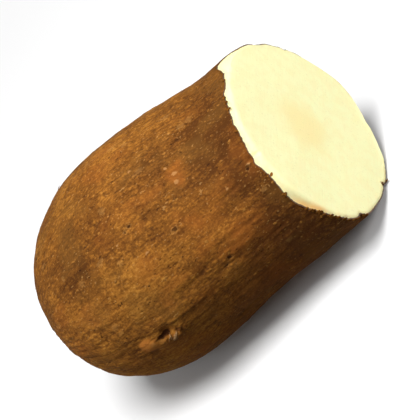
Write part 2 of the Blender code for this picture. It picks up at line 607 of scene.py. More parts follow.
@dataclass(frozen=True)
class BudScar:
    """The scar where a shoot or root broke off: a dark cleft, torn fibres and a bald lump."""

    station: float = 0.0532
    degrees: float = -35.8
    fine_middle: Triple = (-2.0 * MM, -1.0, 52.0 * MM)
    fine_reach: float = 12.5 * MM
    lump_middle: Triple = (-9.9 * MM, 0.0, 50.5 * MM)
    # Middle of the painted shadow under the bald lump.
    lump_shadow_middle: Triple = (-11.2 * MM, -6.2, 49.5 * MM)
    torn_turn: float = -1.5
    torn_long: float = 7.5 * MM
    torn_wide: float = 5.0 * MM
    torn_steep: int = 4
    torn_size: float = 0.9 * MM
    torn_height: float = 0.28 * MM

    def place(self, lie: Lie, offset: Triple) -> Vector:
        """A point near the scar.

        Args:
            lie: How the tuber lies.
            offset: Distance along the tuber and degrees round it from the scar, and the radius.

        Returns:
            The point.
        """
        along, turn, radius = offset
        return lie.place(self.station + along, math.radians(self.degrees + turn), radius)

    def near(self, at: Polar) -> np.ndarray:
        """How much places belong to the torn skin of the scar.

        Args:
            at: The places.

        Returns:
            One number a place, 1 in the scar and 0 far away.
        """
        along = (at.station - self.station) / self.torn_long
        turn = turn_between(at.angle, math.radians(self.degrees + self.torn_turn))
        return np.exp(-(np.hypot(along, turn * at.radius / self.torn_wide) ** self.torn_steep))

    def dents(self) -> tuple[Dent, ...]:
        """The scar's raised and sunken parts, each placed from the cleft.

        Returns:
            The parts, as spots on the skin.
        """
        station, degrees = self.station, self.degrees
        mound = Dent(station - 2.0 * MM, degrees - 1.0, long=11.0 * MM, wide=6.5 * MM, height=0.35 * MM)
        cleft = Dent(station - 1.0 * MM, degrees + 0.1, long=3.3 * MM, wide=1.3 * MM, height=-1.7 * MM,
                     steep=3.0)
        hole = Dent(station + 5.9 * MM, degrees - 1.0, long=1.2 * MM, wide=0.9 * MM, height=-1.1 * MM)
        upper_lip = Dent(station + 0.6 * MM, degrees + 2.8, long=4.6 * MM, wide=1.3 * MM, height=0.50 * MM)
        lower_lip = Dent(station + 3.4 * MM, degrees - 3.8, long=2.8 * MM, wide=1.6 * MM, height=0.40 * MM)
        back_lip = Dent(station - 3.4 * MM, degrees - 3.4, long=2.4 * MM, wide=1.9 * MM, height=0.35 * MM)
        gap = Dent(station + 7.0 * MM, degrees - 4.6, long=1.1 * MM, wide=2.3 * MM, height=-0.9 * MM)
        groove = Dent(station + 3.4 * MM, degrees - 7.4, long=3.0 * MM, wide=0.8 * MM, height=-0.7 * MM)
        lump = Dent(station - 9.9 * MM, degrees + 0.4, long=3.6 * MM, wide=3.0 * MM, height=0.85 * MM,
                    steep=4.0)
        under = Dent(station - 10.4 * MM, degrees - 5.6, long=4.2 * MM, wide=1.5 * MM, height=-0.5 * MM)
        return mound, cleft, hole, upper_lip, lower_lip, back_lip, gap, groove, lump, under


@dataclass(frozen=True)
class Crease:
    """A short ledge in the skin that runs on from the bud scar towards the cut."""

    start: float = 0.0595
    end: float = 0.0800
    start_degrees: float = -31.5
    end_degrees: float = -33.6
    ridge: float = 0.55 * MM
    ridge_width: float = 1.0 * MM
    step: float = 0.55 * MM
    step_width: float = 4.0 * MM
    fade: float = 4.0 * MM

    def amount(self, at: Polar) -> np.ndarray:
        """Height that the ledge adds at each place.

        Args:
            at: The places.

        Returns:
            One height a place.
        """
        share = (at.station - self.start) / (self.end - self.start)
        middle = self.start_degrees + np.clip(share, 0.0, 1.0) * (self.end_degrees - self.start_degrees)
        across = turn_between(at.angle - np.radians(middle), 0.0) * at.radius
        window = smooth_step(at.station, self.start - self.fade, self.start + self.fade)
        window = window * (1.0 - smooth_step(at.station, self.end - self.fade, self.end + self.fade))
        on_ridge = np.exp(-((across / self.ridge_width) ** 2))
        below = (across < 0.0) * np.exp(-((across / self.step_width) ** 2))
        return window * (self.ridge * on_ridge - self.step * below * (1.0 - on_ridge))


@dataclass(frozen=True)
class Shake:
    """Noise that moves marks about, so that they lose their round outlines."""

    along: float
    along_size: float
    along_layer: Layer
    turn: float
    turn_size: float
    turn_layer: Layer

    def moved(self, place: np.ndarray, at: Polar) -> Polar:
        """Shakes places along the tuber and round it.

        Args:
            place: Points, one a row.
            at: Where the same points lie on the tuber.

        Returns:
            The shaken places.
        """
        station = at.station + self.along * noise_at(place, self.along_size, self.along_layer)
        angle = at.angle + self.turn * noise_at(place, self.turn_size, self.turn_layer)
        return Polar(station, angle, at.radius)


@dataclass(frozen=True)
class SkinMarks:
    """Single marks of the skin: root pits, flakes of pale chaff, broad patches of tone with painted light
    and shade, and rusty stains.

    The mesh is made finer within a reach of the pits and flakes, on the skin nearest to a point at
    about its distance from the axis.
    """

    pits: tuple[Dent, ...] = (
        Dent(0.0759, 18.7, long=1.1 * MM, wide=1.0 * MM, height=-0.8 * MM),
        Dent(0.0733, 17.6, long=0.8 * MM, wide=0.7 * MM, height=-0.4 * MM),
        Dent(0.0918, 2.7, long=1.9 * MM, wide=1.1 * MM, height=-0.25 * MM),
        Dent(0.1002, -27.5, long=1.3 * MM, wide=1.0 * MM, height=-0.6 * MM),
        Dent(0.0968, -30.0, long=0.9 * MM, wide=0.8 * MM, height=-0.4 * MM),
        Dent(0.1334, 1.8, long=1.0 * MM, wide=0.9 * MM, height=-0.7 * MM),
        Dent(0.0680, 158.0, long=1.8 * MM, wide=1.4 * MM, height=-1.2 * MM, steep=3.0),
        Dent(0.0410, -152.0, long=1.4 * MM, wide=1.1 * MM, height=-0.7 * MM),
        Dent(0.1120, 132.0, long=1.3 * MM, wide=0.9 * MM, height=-0.6 * MM),
    )
    pale_specks: tuple[Dent, ...] = (
        Dent(0.1058, 26.5, long=1.3 * MM, wide=0.9 * MM, height=0.20 * MM),
        Dent(0.1036, 31.8, long=0.9 * MM, wide=0.7 * MM, height=0.12 * MM),
        Dent(0.1048, 21.5, long=0.9 * MM, wide=1.0 * MM, height=0.12 * MM),
        Dent(0.0888, 43.1, long=1.1 * MM, wide=0.9 * MM, height=0.12 * MM),
        Dent(0.0669, 15.1, long=0.9 * MM, wide=0.7 * MM, height=0.10 * MM),
        Dent(0.0756, 2.7, long=1.1 * MM, wide=0.8 * MM, height=0.20 * MM),
        Dent(0.1348, 3.6, long=1.0 * MM, wide=0.8 * MM, height=0.55 * MM),
        Dent(0.1208, 1.0, long=0.7 * MM, wide=0.6 * MM, height=0.20 * MM),
        Dent(0.0705, 141.0, long=0.9 * MM, wide=0.7 * MM, height=0.25 * MM),
        Dent(0.1010, -160.0, long=0.9 * MM, wide=0.7 * MM, height=0.25 * MM),
    )
    # Broad patches that change the skin's tone: partly its own colour and partly painted light and shade,
    # lighter along the upper edge and towards the lower end, darker over the neck and the lower side next
    # to it.
    tone_and_painted_light: tuple[Dent, ...] = (
        Dent(0.0900, 68.0, long=46.0 * MM, wide=11.0 * MM, height=0.090),
        Dent(0.1040, 36.0, long=24.0 * MM, wide=11.0 * MM, height=-0.100),
        Dent(0.0625, -4.0, long=15.0 * MM, wide=17.0 * MM, height=0.160),
        Dent(0.1050, -18.0, long=9.0 * MM, wide=9.0 * MM, height=0.150),
        Dent(0.0827, -24.0, long=3.2 * MM, wide=2.4 * MM, height=0.120),
        Dent(0.1370, 6.0, long=19.0 * MM, wide=46.0 * MM, height=-0.175),
        Dent(0.1290, -46.0, long=12.0 * MM, wide=14.0 * MM, height=-0.190),
        Dent(0.1000, -62.0, long=24.0 * MM, wide=16.0 * MM, height=-0.175),
        Dent(0.0400, 22.0, long=12.0 * MM, wide=14.0 * MM, height=-0.190),
        Dent(0.0230, -12.0, long=10.0 * MM, wide=14.0 * MM, height=0.050),
        Dent(0.0680, -52.0, long=10.0 * MM, wide=8.0 * MM, height=0.190),
        Dent(0.0600, 36.0, long=12.0 * MM, wide=11.0 * MM, height=-0.050),
        Dent(0.0240, -64.0, long=22.0 * MM, wide=22.0 * MM, height=0.145),
        Dent(0.0850, 150.0, long=24.0 * MM, wide=17.0 * MM, height=-0.060),
        Dent(0.0550, -150.0, long=15.0 * MM, wide=18.0 * MM, height=0.055),
    )
    rust: tuple[Dent, ...] = (
        Dent(0.1110, -24.0, long=12.0 * MM, wide=7.0 * MM, height=0.75),
        Dent(0.1050, -4.0, long=10.0 * MM, wide=6.0 * MM, height=0.45),
        Dent(0.1200, 4.0, long=8.0 * MM, wide=6.0 * MM, height=0.40),
        Dent(0.1070, 23.8, long=4.5 * MM, wide=3.5 * MM, height=0.70),
        Dent(0.0740, -18.0, long=7.0 * MM, wide=4.0 * MM, height=0.50),
        Dent(0.0300, -2.0, long=9.0 * MM, wide=6.0 * MM, height=0.40),
        Dent(0.1020, -60.0, long=24.0 * MM, wide=15.0 * MM, height=0.45),
        Dent(0.0700, 120.0, long=13.0 * MM, wide=8.0 * MM, height=0.60),
        Dent(0.1250, -140.0, long=14.0 * MM, wide=9.0 * MM, height=0.60),
    )
    knot_strength: float = 0.5
    skin_radius: float = 50.0 * MM
    fine_reach: float = 3.0 * MM
    fine_shake: Shake = Shake(along=0.7 * MM, along_size=1.9 * MM, along_layer=Layer.TORN_ALONG,
                              turn=0.014, turn_size=1.7 * MM, turn_layer=Layer.TORN_ROUND)
    broad_shake: Shake = Shake(along=7.0 * MM, along_size=9.0 * MM, along_layer=Layer.SHADE_ALONG,
                               turn=0.16, turn_size=8.0 * MM, turn_layer=Layer.SHADE_ROUND)


@dataclass
class Tuber:
    """The yam half itself: one closed mesh with a bark zone and a cut zone."""

    probe: SolidProbe
    lie: Lie
    cut: CutFace = CutFace()
    relief: Relief = Relief()
    scar: BudScar = BudScar()
    crease: Crease = Crease()
    marks: SkinMarks = SkinMarks()
    segments: int = 420
    end_rings: int = 78
    side_rings: int = 96
    face_rings: int = 20
    fine_cuts: int = 2
    belly_station: float = 0.067
    neck_radius: float = 46.7 * MM
    side_ease: float = 1.3
    face_ease: float = 1.2
    grain_radius: float = 50.0 * MM
    grain_fade: float = 12.0 * MM
    calm_edge: Band = (0.2 * MM, 2.5 * MM)
    smooth_angle: float = math.radians(55.0)

    @property
    def rim_ring(self) -> int:
        """Number of the ring at the skin's torn edge."""
        return self.end_rings + self.side_rings

    @property
    def flesh_ring(self) -> int:
        """Number of the ring where the cut face starts."""
        return self.rim_ring + self.cut.edge_rings

    def build(self) -> bpy.types.Object:
        """Models and dresses the tuber.

        Returns:
            The tuber's object.
        """
        rings = self.flesh_ring + self.face_rings
        deselect_all()
        bpy.ops.mesh.primitive_uv_sphere_add(segments=self.segments, ring_count=rings, radius=1.0)
        piece = bpy.context.object
        piece.name = piece.data.name = "yam_half_dressed"
        ball = coordinates(piece.data)
        ring = np.rint(np.arccos(np.clip(ball[:, 2], -1.0, 1.0)) / math.pi * rings).astype(int)
        self._mark_zones(piece.data, ring)
        write_attribute(piece.data, "inset", np.zeros(len(ring)))
        set_coordinates(piece.data, self._wrapped(piece.data, ring, np.arctan2(ball[:, 1], ball[:, 0])))
        make_active(piece)
        turn_outwards()
        self._refine(piece)
        self._carve(piece.data)
        bpy.ops.object.shade_smooth_by_angle(angle=self.smooth_angle)
        self._dress(piece.data)
        return piece

    def _mark_zones(self, mesh: bpy.types.Mesh, ring: np.ndarray) -> None:
        """Gives each face its material slot.

        Args:
            mesh: The tuber's mesh.
            ring: Ring number of each vertex.
        """
        for _ in Zone:
            mesh.materials.append(None)
        for face in mesh.polygons:
            in_cut = min(ring[index] for index in face.vertices) >= self.rim_ring
            face.material_index = Zone.CUT.value if in_cut else Zone.BARK.value

    def _wrapped(self, mesh: bpy.types.Mesh, ring: np.ndarray, angle: np.ndarray) -> np.ndarray:
        """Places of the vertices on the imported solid, and the inset of those on the cut.

        Args:
            mesh: The mesh whose inset attribute is filled in.
            ring: Ring number of each vertex, counted from the blunt tip.
            angle: Angle of each vertex.

        Returns:
            One place a row.
        """
        neck = self._neck(angle)
        swell = self.cut.swelling(angle)
        columns = (neck, self.cut.nick_depth(angle), swell, self.cut.skin_gap(angle, neck),
                   self.cut.station_at(angle, neck + swell))
        places = np.empty((len(ring), 3))
        inset = np.zeros(len(ring))
        for index, (number, turn, *numbers) in enumerate(zip(ring, angle, *columns)):
            rim = Rim(*numbers)
            if number <= self.end_rings:
                places[index] = self._end_place(number, turn)
            elif number <= self.rim_ring:
                places[index] = self._side_place(number, turn, rim)
            elif number <= self.flesh_ring:
                places[index], inset[index] = self._edge_place(number, turn, rim)
            else:
                places[index], inset[index] = self._face_place(number, turn, rim)
        mesh.attributes["inset"].data.foreach_set("value", inset)
        return places

    def _neck(self, angle: np.ndarray) -> np.ndarray:
        """Distance of the skin from the axis just behind the cut, at each angle.

        Args:
            angle: The angles.

        Returns:
            One distance an angle.
        """
        turns = np.round(angle, 5)
        radii = {turn: self._neck_at(float(turn)) for turn in np.unique(turns)}
        return np.array([radii[turn] for turn in turns])

    def _neck_at(self, turn: float) -> float:
        """Distance of the skin from the axis just behind the cut, at one angle."""
        station = float(self.cut.station_at(turn, self.neck_radius)) - self.cut.measured_behind
        return self.probe.radius(self.lie, station, turn)

    def skin_edge(self, turn: float) -> float:
        """Station of the skin's torn edge at an angle.

        Args:
            turn: The angle.

        Returns:
            Its distance along the axis.
        """
        angle, neck = np.array([turn]), np.array([self._neck_at(turn)])
        whole = self.cut.station_at(angle, neck + self.cut.swelling(angle))
        return float((whole - self.cut.skin_gap(angle, neck))[0])

    def _end_place(self, number: int, turn: float) -> Vector:
        """A point of the rounded end, on a ray from the belly's middle.

        Args:
            number: The ring's number.
            turn: The angle.

        Returns:
            The point.
        """
        latitude = 0.5 * math.pi * number / self.end_rings
        ray = self.lie.outward(turn) * math.sin(latitude) - self.lie.along * math.cos(latitude)
        return self.probe.hit(self.lie.place(self.belly_station, 0.0), ray)

    def _side_place(self, number: int, turn: float, rim: Rim) -> Vector:
        """A point of the side, on a ray straight out from the axis.

        Args:
            number: The ring's number.
            turn: The angle.
            rim: The rim at that angle.

        Returns:
            The point.
        """
        edge = rim.whole - rim.gap
        share = 1.0 - (1.0 - (number - self.end_rings) / self.side_rings) ** self.side_ease
        station = self.belly_station + share * (edge - self.belly_station)
        radius = self.probe.radius(self.lie, min(station, rim.whole - self.cut.measured_behind), turn)
        cut_in = rim.nick * float(smooth_step(station, edge - self.cut.nick_reach, edge))
        widening = rim.swell * float(smooth_step(station, edge - self.cut.swell_reach, edge))
        return self.lie.place(station, turn, radius - cut_in + widening)

    def _edge_place(self, number: int, turn: float, rim: Rim) -> tuple[Vector, float]:
        """A point between the skin's torn edge and the cut face.

        Args:
            number: The ring's number.
            turn: The angle.
            rim: The rim at that angle.

        Returns:
            The point, and its inset from the skin.
        """
        step = number - self.rim_ring
        advance = self.cut.edge_advance[step]
        inward = self.cut.edge_inset[step] * self.cut.skin_thickness
        forward = advance * rim.gap
        radius = rim.outer - inward - advance * self.cut.lean_in(rim.gap)
        place = self.lie.place(rim.whole - rim.gap + forward, turn, radius)
        return place, inward + self.cut.bared * forward

    def _face_place(self, number: int, turn: float, rim: Rim) -> tuple[Vector, float]:
        """A point of the cut face.

        Args:
            number: The ring's number.
            turn: The angle.
            rim: The rim at that angle.

        Returns:
            The point, and its inset from the skin.
        """
        cut = self.cut
        share = (number - self.flesh_ring) / self.face_rings
        face_radius = rim.outer - cut.skin_thickness - cut.lean_in(rim.gap)
        radius = face_radius * (1.0 - share**self.face_ease)
        measured = min(radius, rim.neck - cut.measured_inside)
        start = self.lie.place(float(cut.station_at(turn, measured)) - cut.probe_depth, turn, measured)
        knife = (self.probe.hit(start, self.lie.along) - start).length - cut.probe_depth
        knife = knife * float(smooth_step(share, 0.0, cut.probe_fade))
        place = self.lie.place(float(cut.station_at(turn, radius)) + knife, turn, radius)
        return place, face_radius - radius + cut.skin_thickness + cut.bared * rim.gap

    def _refine(self, piece: bpy.types.Object) -> None:
        """Splits the faces round the bud scar and the small marks, so that their edges can be sharp.

        Args:
            piece: The tuber's object.
        """
        scar = self.scar.place(self.lie, self.scar.fine_middle)
        spots = [(self.probe.tree.find_nearest(scar)[0], self.scar.fine_reach)]
        for mark in (*self.marks.pits, *self.marks.pale_specks):
            place = self.lie.place(mark.station, math.radians(mark.degrees), self.marks.skin_radius)
            spots.append((self.probe.tree.find_nearest(place)[0], self.marks.fine_reach))
        make_active(piece)
        bpy.ops.object.mode_set(mode="EDIT")
        bpy.ops.mesh.select_mode(type="FACE")
        bpy.ops.mesh.select_all(action="DESELECT")
        bpy.ops.object.mode_set(mode="OBJECT")
        for face in piece.data.polygons:
            face.select = any((face.center - middle).length < reach for middle, reach in spots)
        bpy.ops.object.mode_set(mode="EDIT")
        bpy.ops.mesh.subdivide(number_cuts=self.fine_cuts)
        bpy.ops.object.mode_set(mode="OBJECT")

    def _carve(self, mesh: bpy.types.Mesh) -> None:
        """Raises and sinks the skin by its relief, and stores what the bark finish reads.

        Args:
            mesh: The tuber's mesh.
        """
        marks, scar = self.marks, self.scar
        plain = coordinates(mesh)
        at = self.lie.read(plain)
        grain = self._grain(at)
        height = self.relief.heights(plain, grain)
        knot, pale = np.zeros(len(plain)), np.zeros(len(plain))
        shaken = marks.fine_shake.moved(plain, at)
        for mark in (*self.relief.knot_marks(), *marks.pits, *marks.pale_specks):
            share = mark.share(shaken)
            height = height + mark.height * share
            knot = np.maximum(knot, share if mark in marks.pits else marks.knot_strength * share)
            pale = np.maximum(pale, share if mark in marks.pale_specks else 0.0)
        near = scar.near(at)
        frayed = near * noise_at(plain, scar.torn_size, Layer.SCAR_FIBRE) * scar.torn_height
        height = height + sum(dent.amount(shaken) for dent in scar.dents()) + frayed
        height = height + self.crease.amount(at)
        behind = self.cut.station_at(at.angle, at.radius) - at.station
        height = height * smooth_step(behind, *self.calm_edge) * self._is_bark(mesh)
        moved = plain + vertex_normals(mesh) * height[:, None]
        moved[:, 2] = np.maximum(moved[:, 2], 0.0)
        set_coordinates(mesh, moved)
        shaken = marks.broad_shake.moved(plain, at)
        # The shade attribute holds the broad patches: the skin's own tone with painted light and shade.
        stored = {"grain": grain, "relief": height / MM, "scar": near, "knot": knot, "pale": pale,
                  "shade": sum(mark.amount(shaken) for mark in marks.tone_and_painted_light),
                  "rust": sum(mark.amount(shaken) for mark in marks.rust)}
        for name, values in stored.items():
            write_attribute(mesh, name, values)

    def _grain(self, at: Polar) -> np.ndarray:
        """Coordinates that follow the skin: round the tuber in two numbers, and along it."""
        reach = self.grain_radius * (1.0 - np.exp(-at.radius / self.grain_fade))
        return np.stack([reach * np.cos(at.angle), reach * np.sin(at.angle), at.station], axis=1)

    def _is_bark(self, mesh: bpy.types.Mesh) -> np.ndarray:
        """Tells the bark from the cut.

        Args:
            mesh: The tuber's mesh.

        Returns:
            1 at vertices of the bark, and 0 at those of the cut and its rim.
        """
        bark = np.ones(len(mesh.vertices))
        for face in mesh.polygons:
            if face.material_index == Zone.CUT.value:
                bark[list(face.vertices)] = 0.0
        return bark

    def _dress(self, mesh: bpy.types.Mesh) -> None:
        """Gives the two zones their finishes."""
        mesh.materials[Zone.BARK.value] = BarkFinish().material("corky_skin", self.lie, self.scar)
        mesh.materials[Zone.CUT.value] = CutFinish().material("fresh_cut", self.lie, self.cut)


@dataclass(frozen=True)
class Cloud:
    """A layer of soft noise in a finish: the width of its blobs, its fineness and its roughness."""

    size: float | Triple
    detail: float = 2.0
    roughness: float = 0.5


class Wire:
    """A shader value that adds its own Math nodes when it is used in an expression."""

    def __init__(self, shader: "Graph", socket: bpy.types.NodeSocket) -> None:
        """Wraps an output socket."""
        self.shader = shader
        self.socket = socket

    def __add__(self, other: "Wire | float") -> "Wire":
        """Sum."""
        return self.shader.math("ADD", self, other)

    def __radd__(self, other: float) -> "Wire":
        """Sum, with the number first."""
        return self.shader.math("ADD", other, self)

    def __sub__(self, other: "Wire | float") -> "Wire":
        """Difference."""
        return self.shader.math("SUBTRACT", self, other)

    def __rsub__(self, other: float) -> "Wire":
        """Difference, with the number first."""
        return self.shader.math("SUBTRACT", other, self)

    def __mul__(self, other: "Wire | float") -> "Wire":
        """Product."""
        return self.shader.math("MULTIPLY", self, other)

    def swing(self, depth: float) -> "Wire":
        """Noise that averages a half, made to swing about 0 and scaled by a depth."""
        return (self - 0.5) * depth

    def rises(self, low: float, high: float) -> "Wire":
        """Eases from 0 at low to 1 at high, or falls where high is below low.

        Args:
            low: Where the rise starts.
            high: Where it ends.

        Returns:
            The eased value.
        """
        sockets = {"Value": self, "From Min": low, "From Max": high}
        settings = {"interpolation_type": "SMOOTHSTEP", "clamp": True}
        return self.shader.node("ShaderNodeMapRange", settings, sockets)


class Graph:
    """A node tree under construction."""

    MIX_INPUTS = (0, 6, 7)
    MIX_OUTPUT = 2

    def __init__(self, tree: bpy.types.NodeTree) -> None:
        """Starts on a tree."""
        self.tree = tree

    def node(self, kind: str, settings: dict[str, object], sockets: dict[int | str, object],
             output: int | str = 0) -> Wire:
        """Adds any node.

        Args:
            kind: The node's type.
            settings: What is set on the node itself, or the stops of its ramp.
            sockets: Values or wires of its inputs, by name or number.
            output: Which output is returned.

        Returns:
            The chosen output.
        """
        node = self.tree.nodes.new(kind)
        for name, value in settings.items():
            if name == "stops":
                self._set_stops(node.color_ramp, value)
            else:
                setattr(node, name, value)
        for key, value in sockets.items():
            self.feed(node.inputs[key], value)
        return Wire(self, node.outputs[output])

    @staticmethod
    def _set_stops(ramp: bpy.types.ColorRamp, stops: Sequence[tuple[float, Colour]]) -> None:
        """Gives a colour ramp its stops.

        Args:
            ramp: The ramp.
            stops: Its positions and colours.
        """
        while len(ramp.elements) < len(stops):
            ramp.elements.new(1.0)
        for element, (position, colour) in zip(ramp.elements, stops):
            element.position = position
            element.color = rgba(colour)

    def feed(self, socket: bpy.types.NodeSocket, value: object) -> None:
        """Links a wire to an input, or sets the input's own value.

        Args:
            socket: The input.
            value: A wire, or a value of the input's own kind.
        """
        if isinstance(value, Wire):
            self.tree.links.new(value.socket, socket)
        else:
            socket.default_value = value

    def math(self, operation: str, *operands: "Wire | float") -> Wire:
        """Adds a Math node."""
        return self.node("ShaderNodeMath", {"operation": operation}, dict(enumerate(operands)))

    def place(self) -> Wire:
        """The surface's own coordinates, in metres."""
        return self.node("ShaderNodeTexCoord", {}, {}, "Object")

    def attribute(self, name: str, output: str = "Fac") -> Wire:
        """A number or vector stored on the mesh."""
        return self.node("ShaderNodeAttribute", {"attribute_name": name}, {}, output)

    def part(self, vector: Wire, axis: str) -> Wire:
        """One coordinate of a vector."""
        return self.node("ShaderNodeSeparateXYZ", {}, {0: vector}, axis)

    def scaled(self, places: Wire, size: float | Triple) -> Wire:
        """Coordinates counted in blobs of a size.

        Args:
            places: The coordinates.
            size: Width of a blob, for all axes or for each.

        Returns:
            The scaled coordinates.
        """
        width = np.broadcast_to(np.asarray(size, dtype=float), 3)
        sockets = {0: places, 1: tuple(1.0 / width)}
        return self.node("ShaderNodeVectorMath", {"operation": "MULTIPLY"}, sockets)

    def clouds(self, places: Wire, cloud: Cloud) -> Wire:
        """Soft noise from 0 to 1, about 0.5 on average."""
        sockets = {"Vector": self.scaled(places, cloud.size), "Scale": 1.0, "Detail": cloud.detail,
                   "Roughness": cloud.roughness}
        return self.node("ShaderNodeTexNoise", {}, sockets)

    def cells(self, places: Wire, size: Triple) -> Wire:
        """Distance to the nearest cell's middle, in cell sizes."""
        sockets = {"Vector": self.scaled(places, size), "Scale": 1.0}
        return self.node("ShaderNodeTexVoronoi", {}, sockets, "Distance")

    def away_from(self, places: Wire, point: Vector) -> Wire:
        """Distance from a point, in metres."""
        return self.node("ShaderNodeVectorMath", {"operation": "DISTANCE"},
                         {0: places, 1: tuple(point)}, "Value")

    def ramp(self, value: Wire, stops: Sequence[tuple[float, Colour]]) -> Wire:
        """A colour read from a ramp."""
        return self.node("ShaderNodeValToRGB", {"stops": stops}, {0: value})

    def mix(self, share: "Wire | float", first: "Wire | Colour", second: "Wire | Colour") -> Wire:
        """Blends two colours.

        Args:
            share: Share of the second colour.
            first: The first colour.
            second: The second colour.

        Returns:
            The blend.
        """
        colours = [colour if isinstance(colour, Wire) else rgba(colour) for colour in (first, second)]
        sockets = dict(zip(self.MIX_INPUTS, (share, *colours)))
        return self.node("ShaderNodeMix", {"data_type": "RGBA"}, sockets, self.MIX_OUTPUT)


class Shader(Graph):
    """A material under construction, on top of its Principled shader."""

    def __init__(self, name: str) -> None:
        """Starts a material with nothing but its Principled shader.

        Args:
            name: The material's name.
        """
        self.material = bpy.data.materials.new(name)
        self.material.use_nodes = True
        super().__init__(self.material.node_tree)
        self.surface = self.tree.nodes["Principled BSDF"]

    def set(self, **values: object) -> None:
        """Sets or links inputs of the Principled shader, with _ for a space."""
        for name, value in values.items():
            self.feed(self.surface.inputs[name.replace("_", " ")], value)

    def bump(self, height: Wire, depth: float) -> None:
        """Roughens the surface by a height from 0 to 1, times a depth in metres."""
        sockets = {"Height": height, "Strength": 1.0, "Distance": depth}
        self.feed(self.surface.inputs["Normal"], self.node("ShaderNodeBump", {}, sockets))


@dataclass(frozen=True)
class Spots:
    """Small ragged spots where noise passes an edge, thick in some patches and thin in others."""

    width: float
    edge: Band
    patch: Cloud
    stretch: float = 1.6
    patch_edge: Band = (0.40, 0.58)
    least: float = 0.25

    def mask(self, shader: Shader, grain: Wire) -> Wire:
        """Strews the spots over a surface.

        Args:
            shader: The material.
            grain: Coordinates that follow the surface.

        Returns:
            1 inside the spots, and 0 between them.
        """
        patch = shader.clouds(grain, self.patch).rises(*self.patch_edge)
        spot = shader.clouds(grain, Cloud((self.width, self.width, self.stretch * self.width), 1.0))
        return spot.rises(*self.edge) * (self.least + patch * (1.0 - self.least))


@dataclass(frozen=True)
class Stain:
    """A stain round a point: the distances where it starts and is full, and its strength."""

    start: float
    full: float
    share: float
    ragged: float = 0.0

    def mask(self, shader: Shader, place: Wire, middle: Vector, cloud: Wire | None = None) -> Wire:
        """Lays the stain round a point.

        Args:
            shader: The material.
            place: The surface's coordinates.
            middle: The point.
            cloud: Noise that makes its outline ragged.

        Returns:
            The stain's share at each place.
        """
        away = shader.away_from(place, middle)
        if cloud is not None:
            away = away + cloud.swing(self.ragged)
        return away.rises(self.start, self.full) * self.share


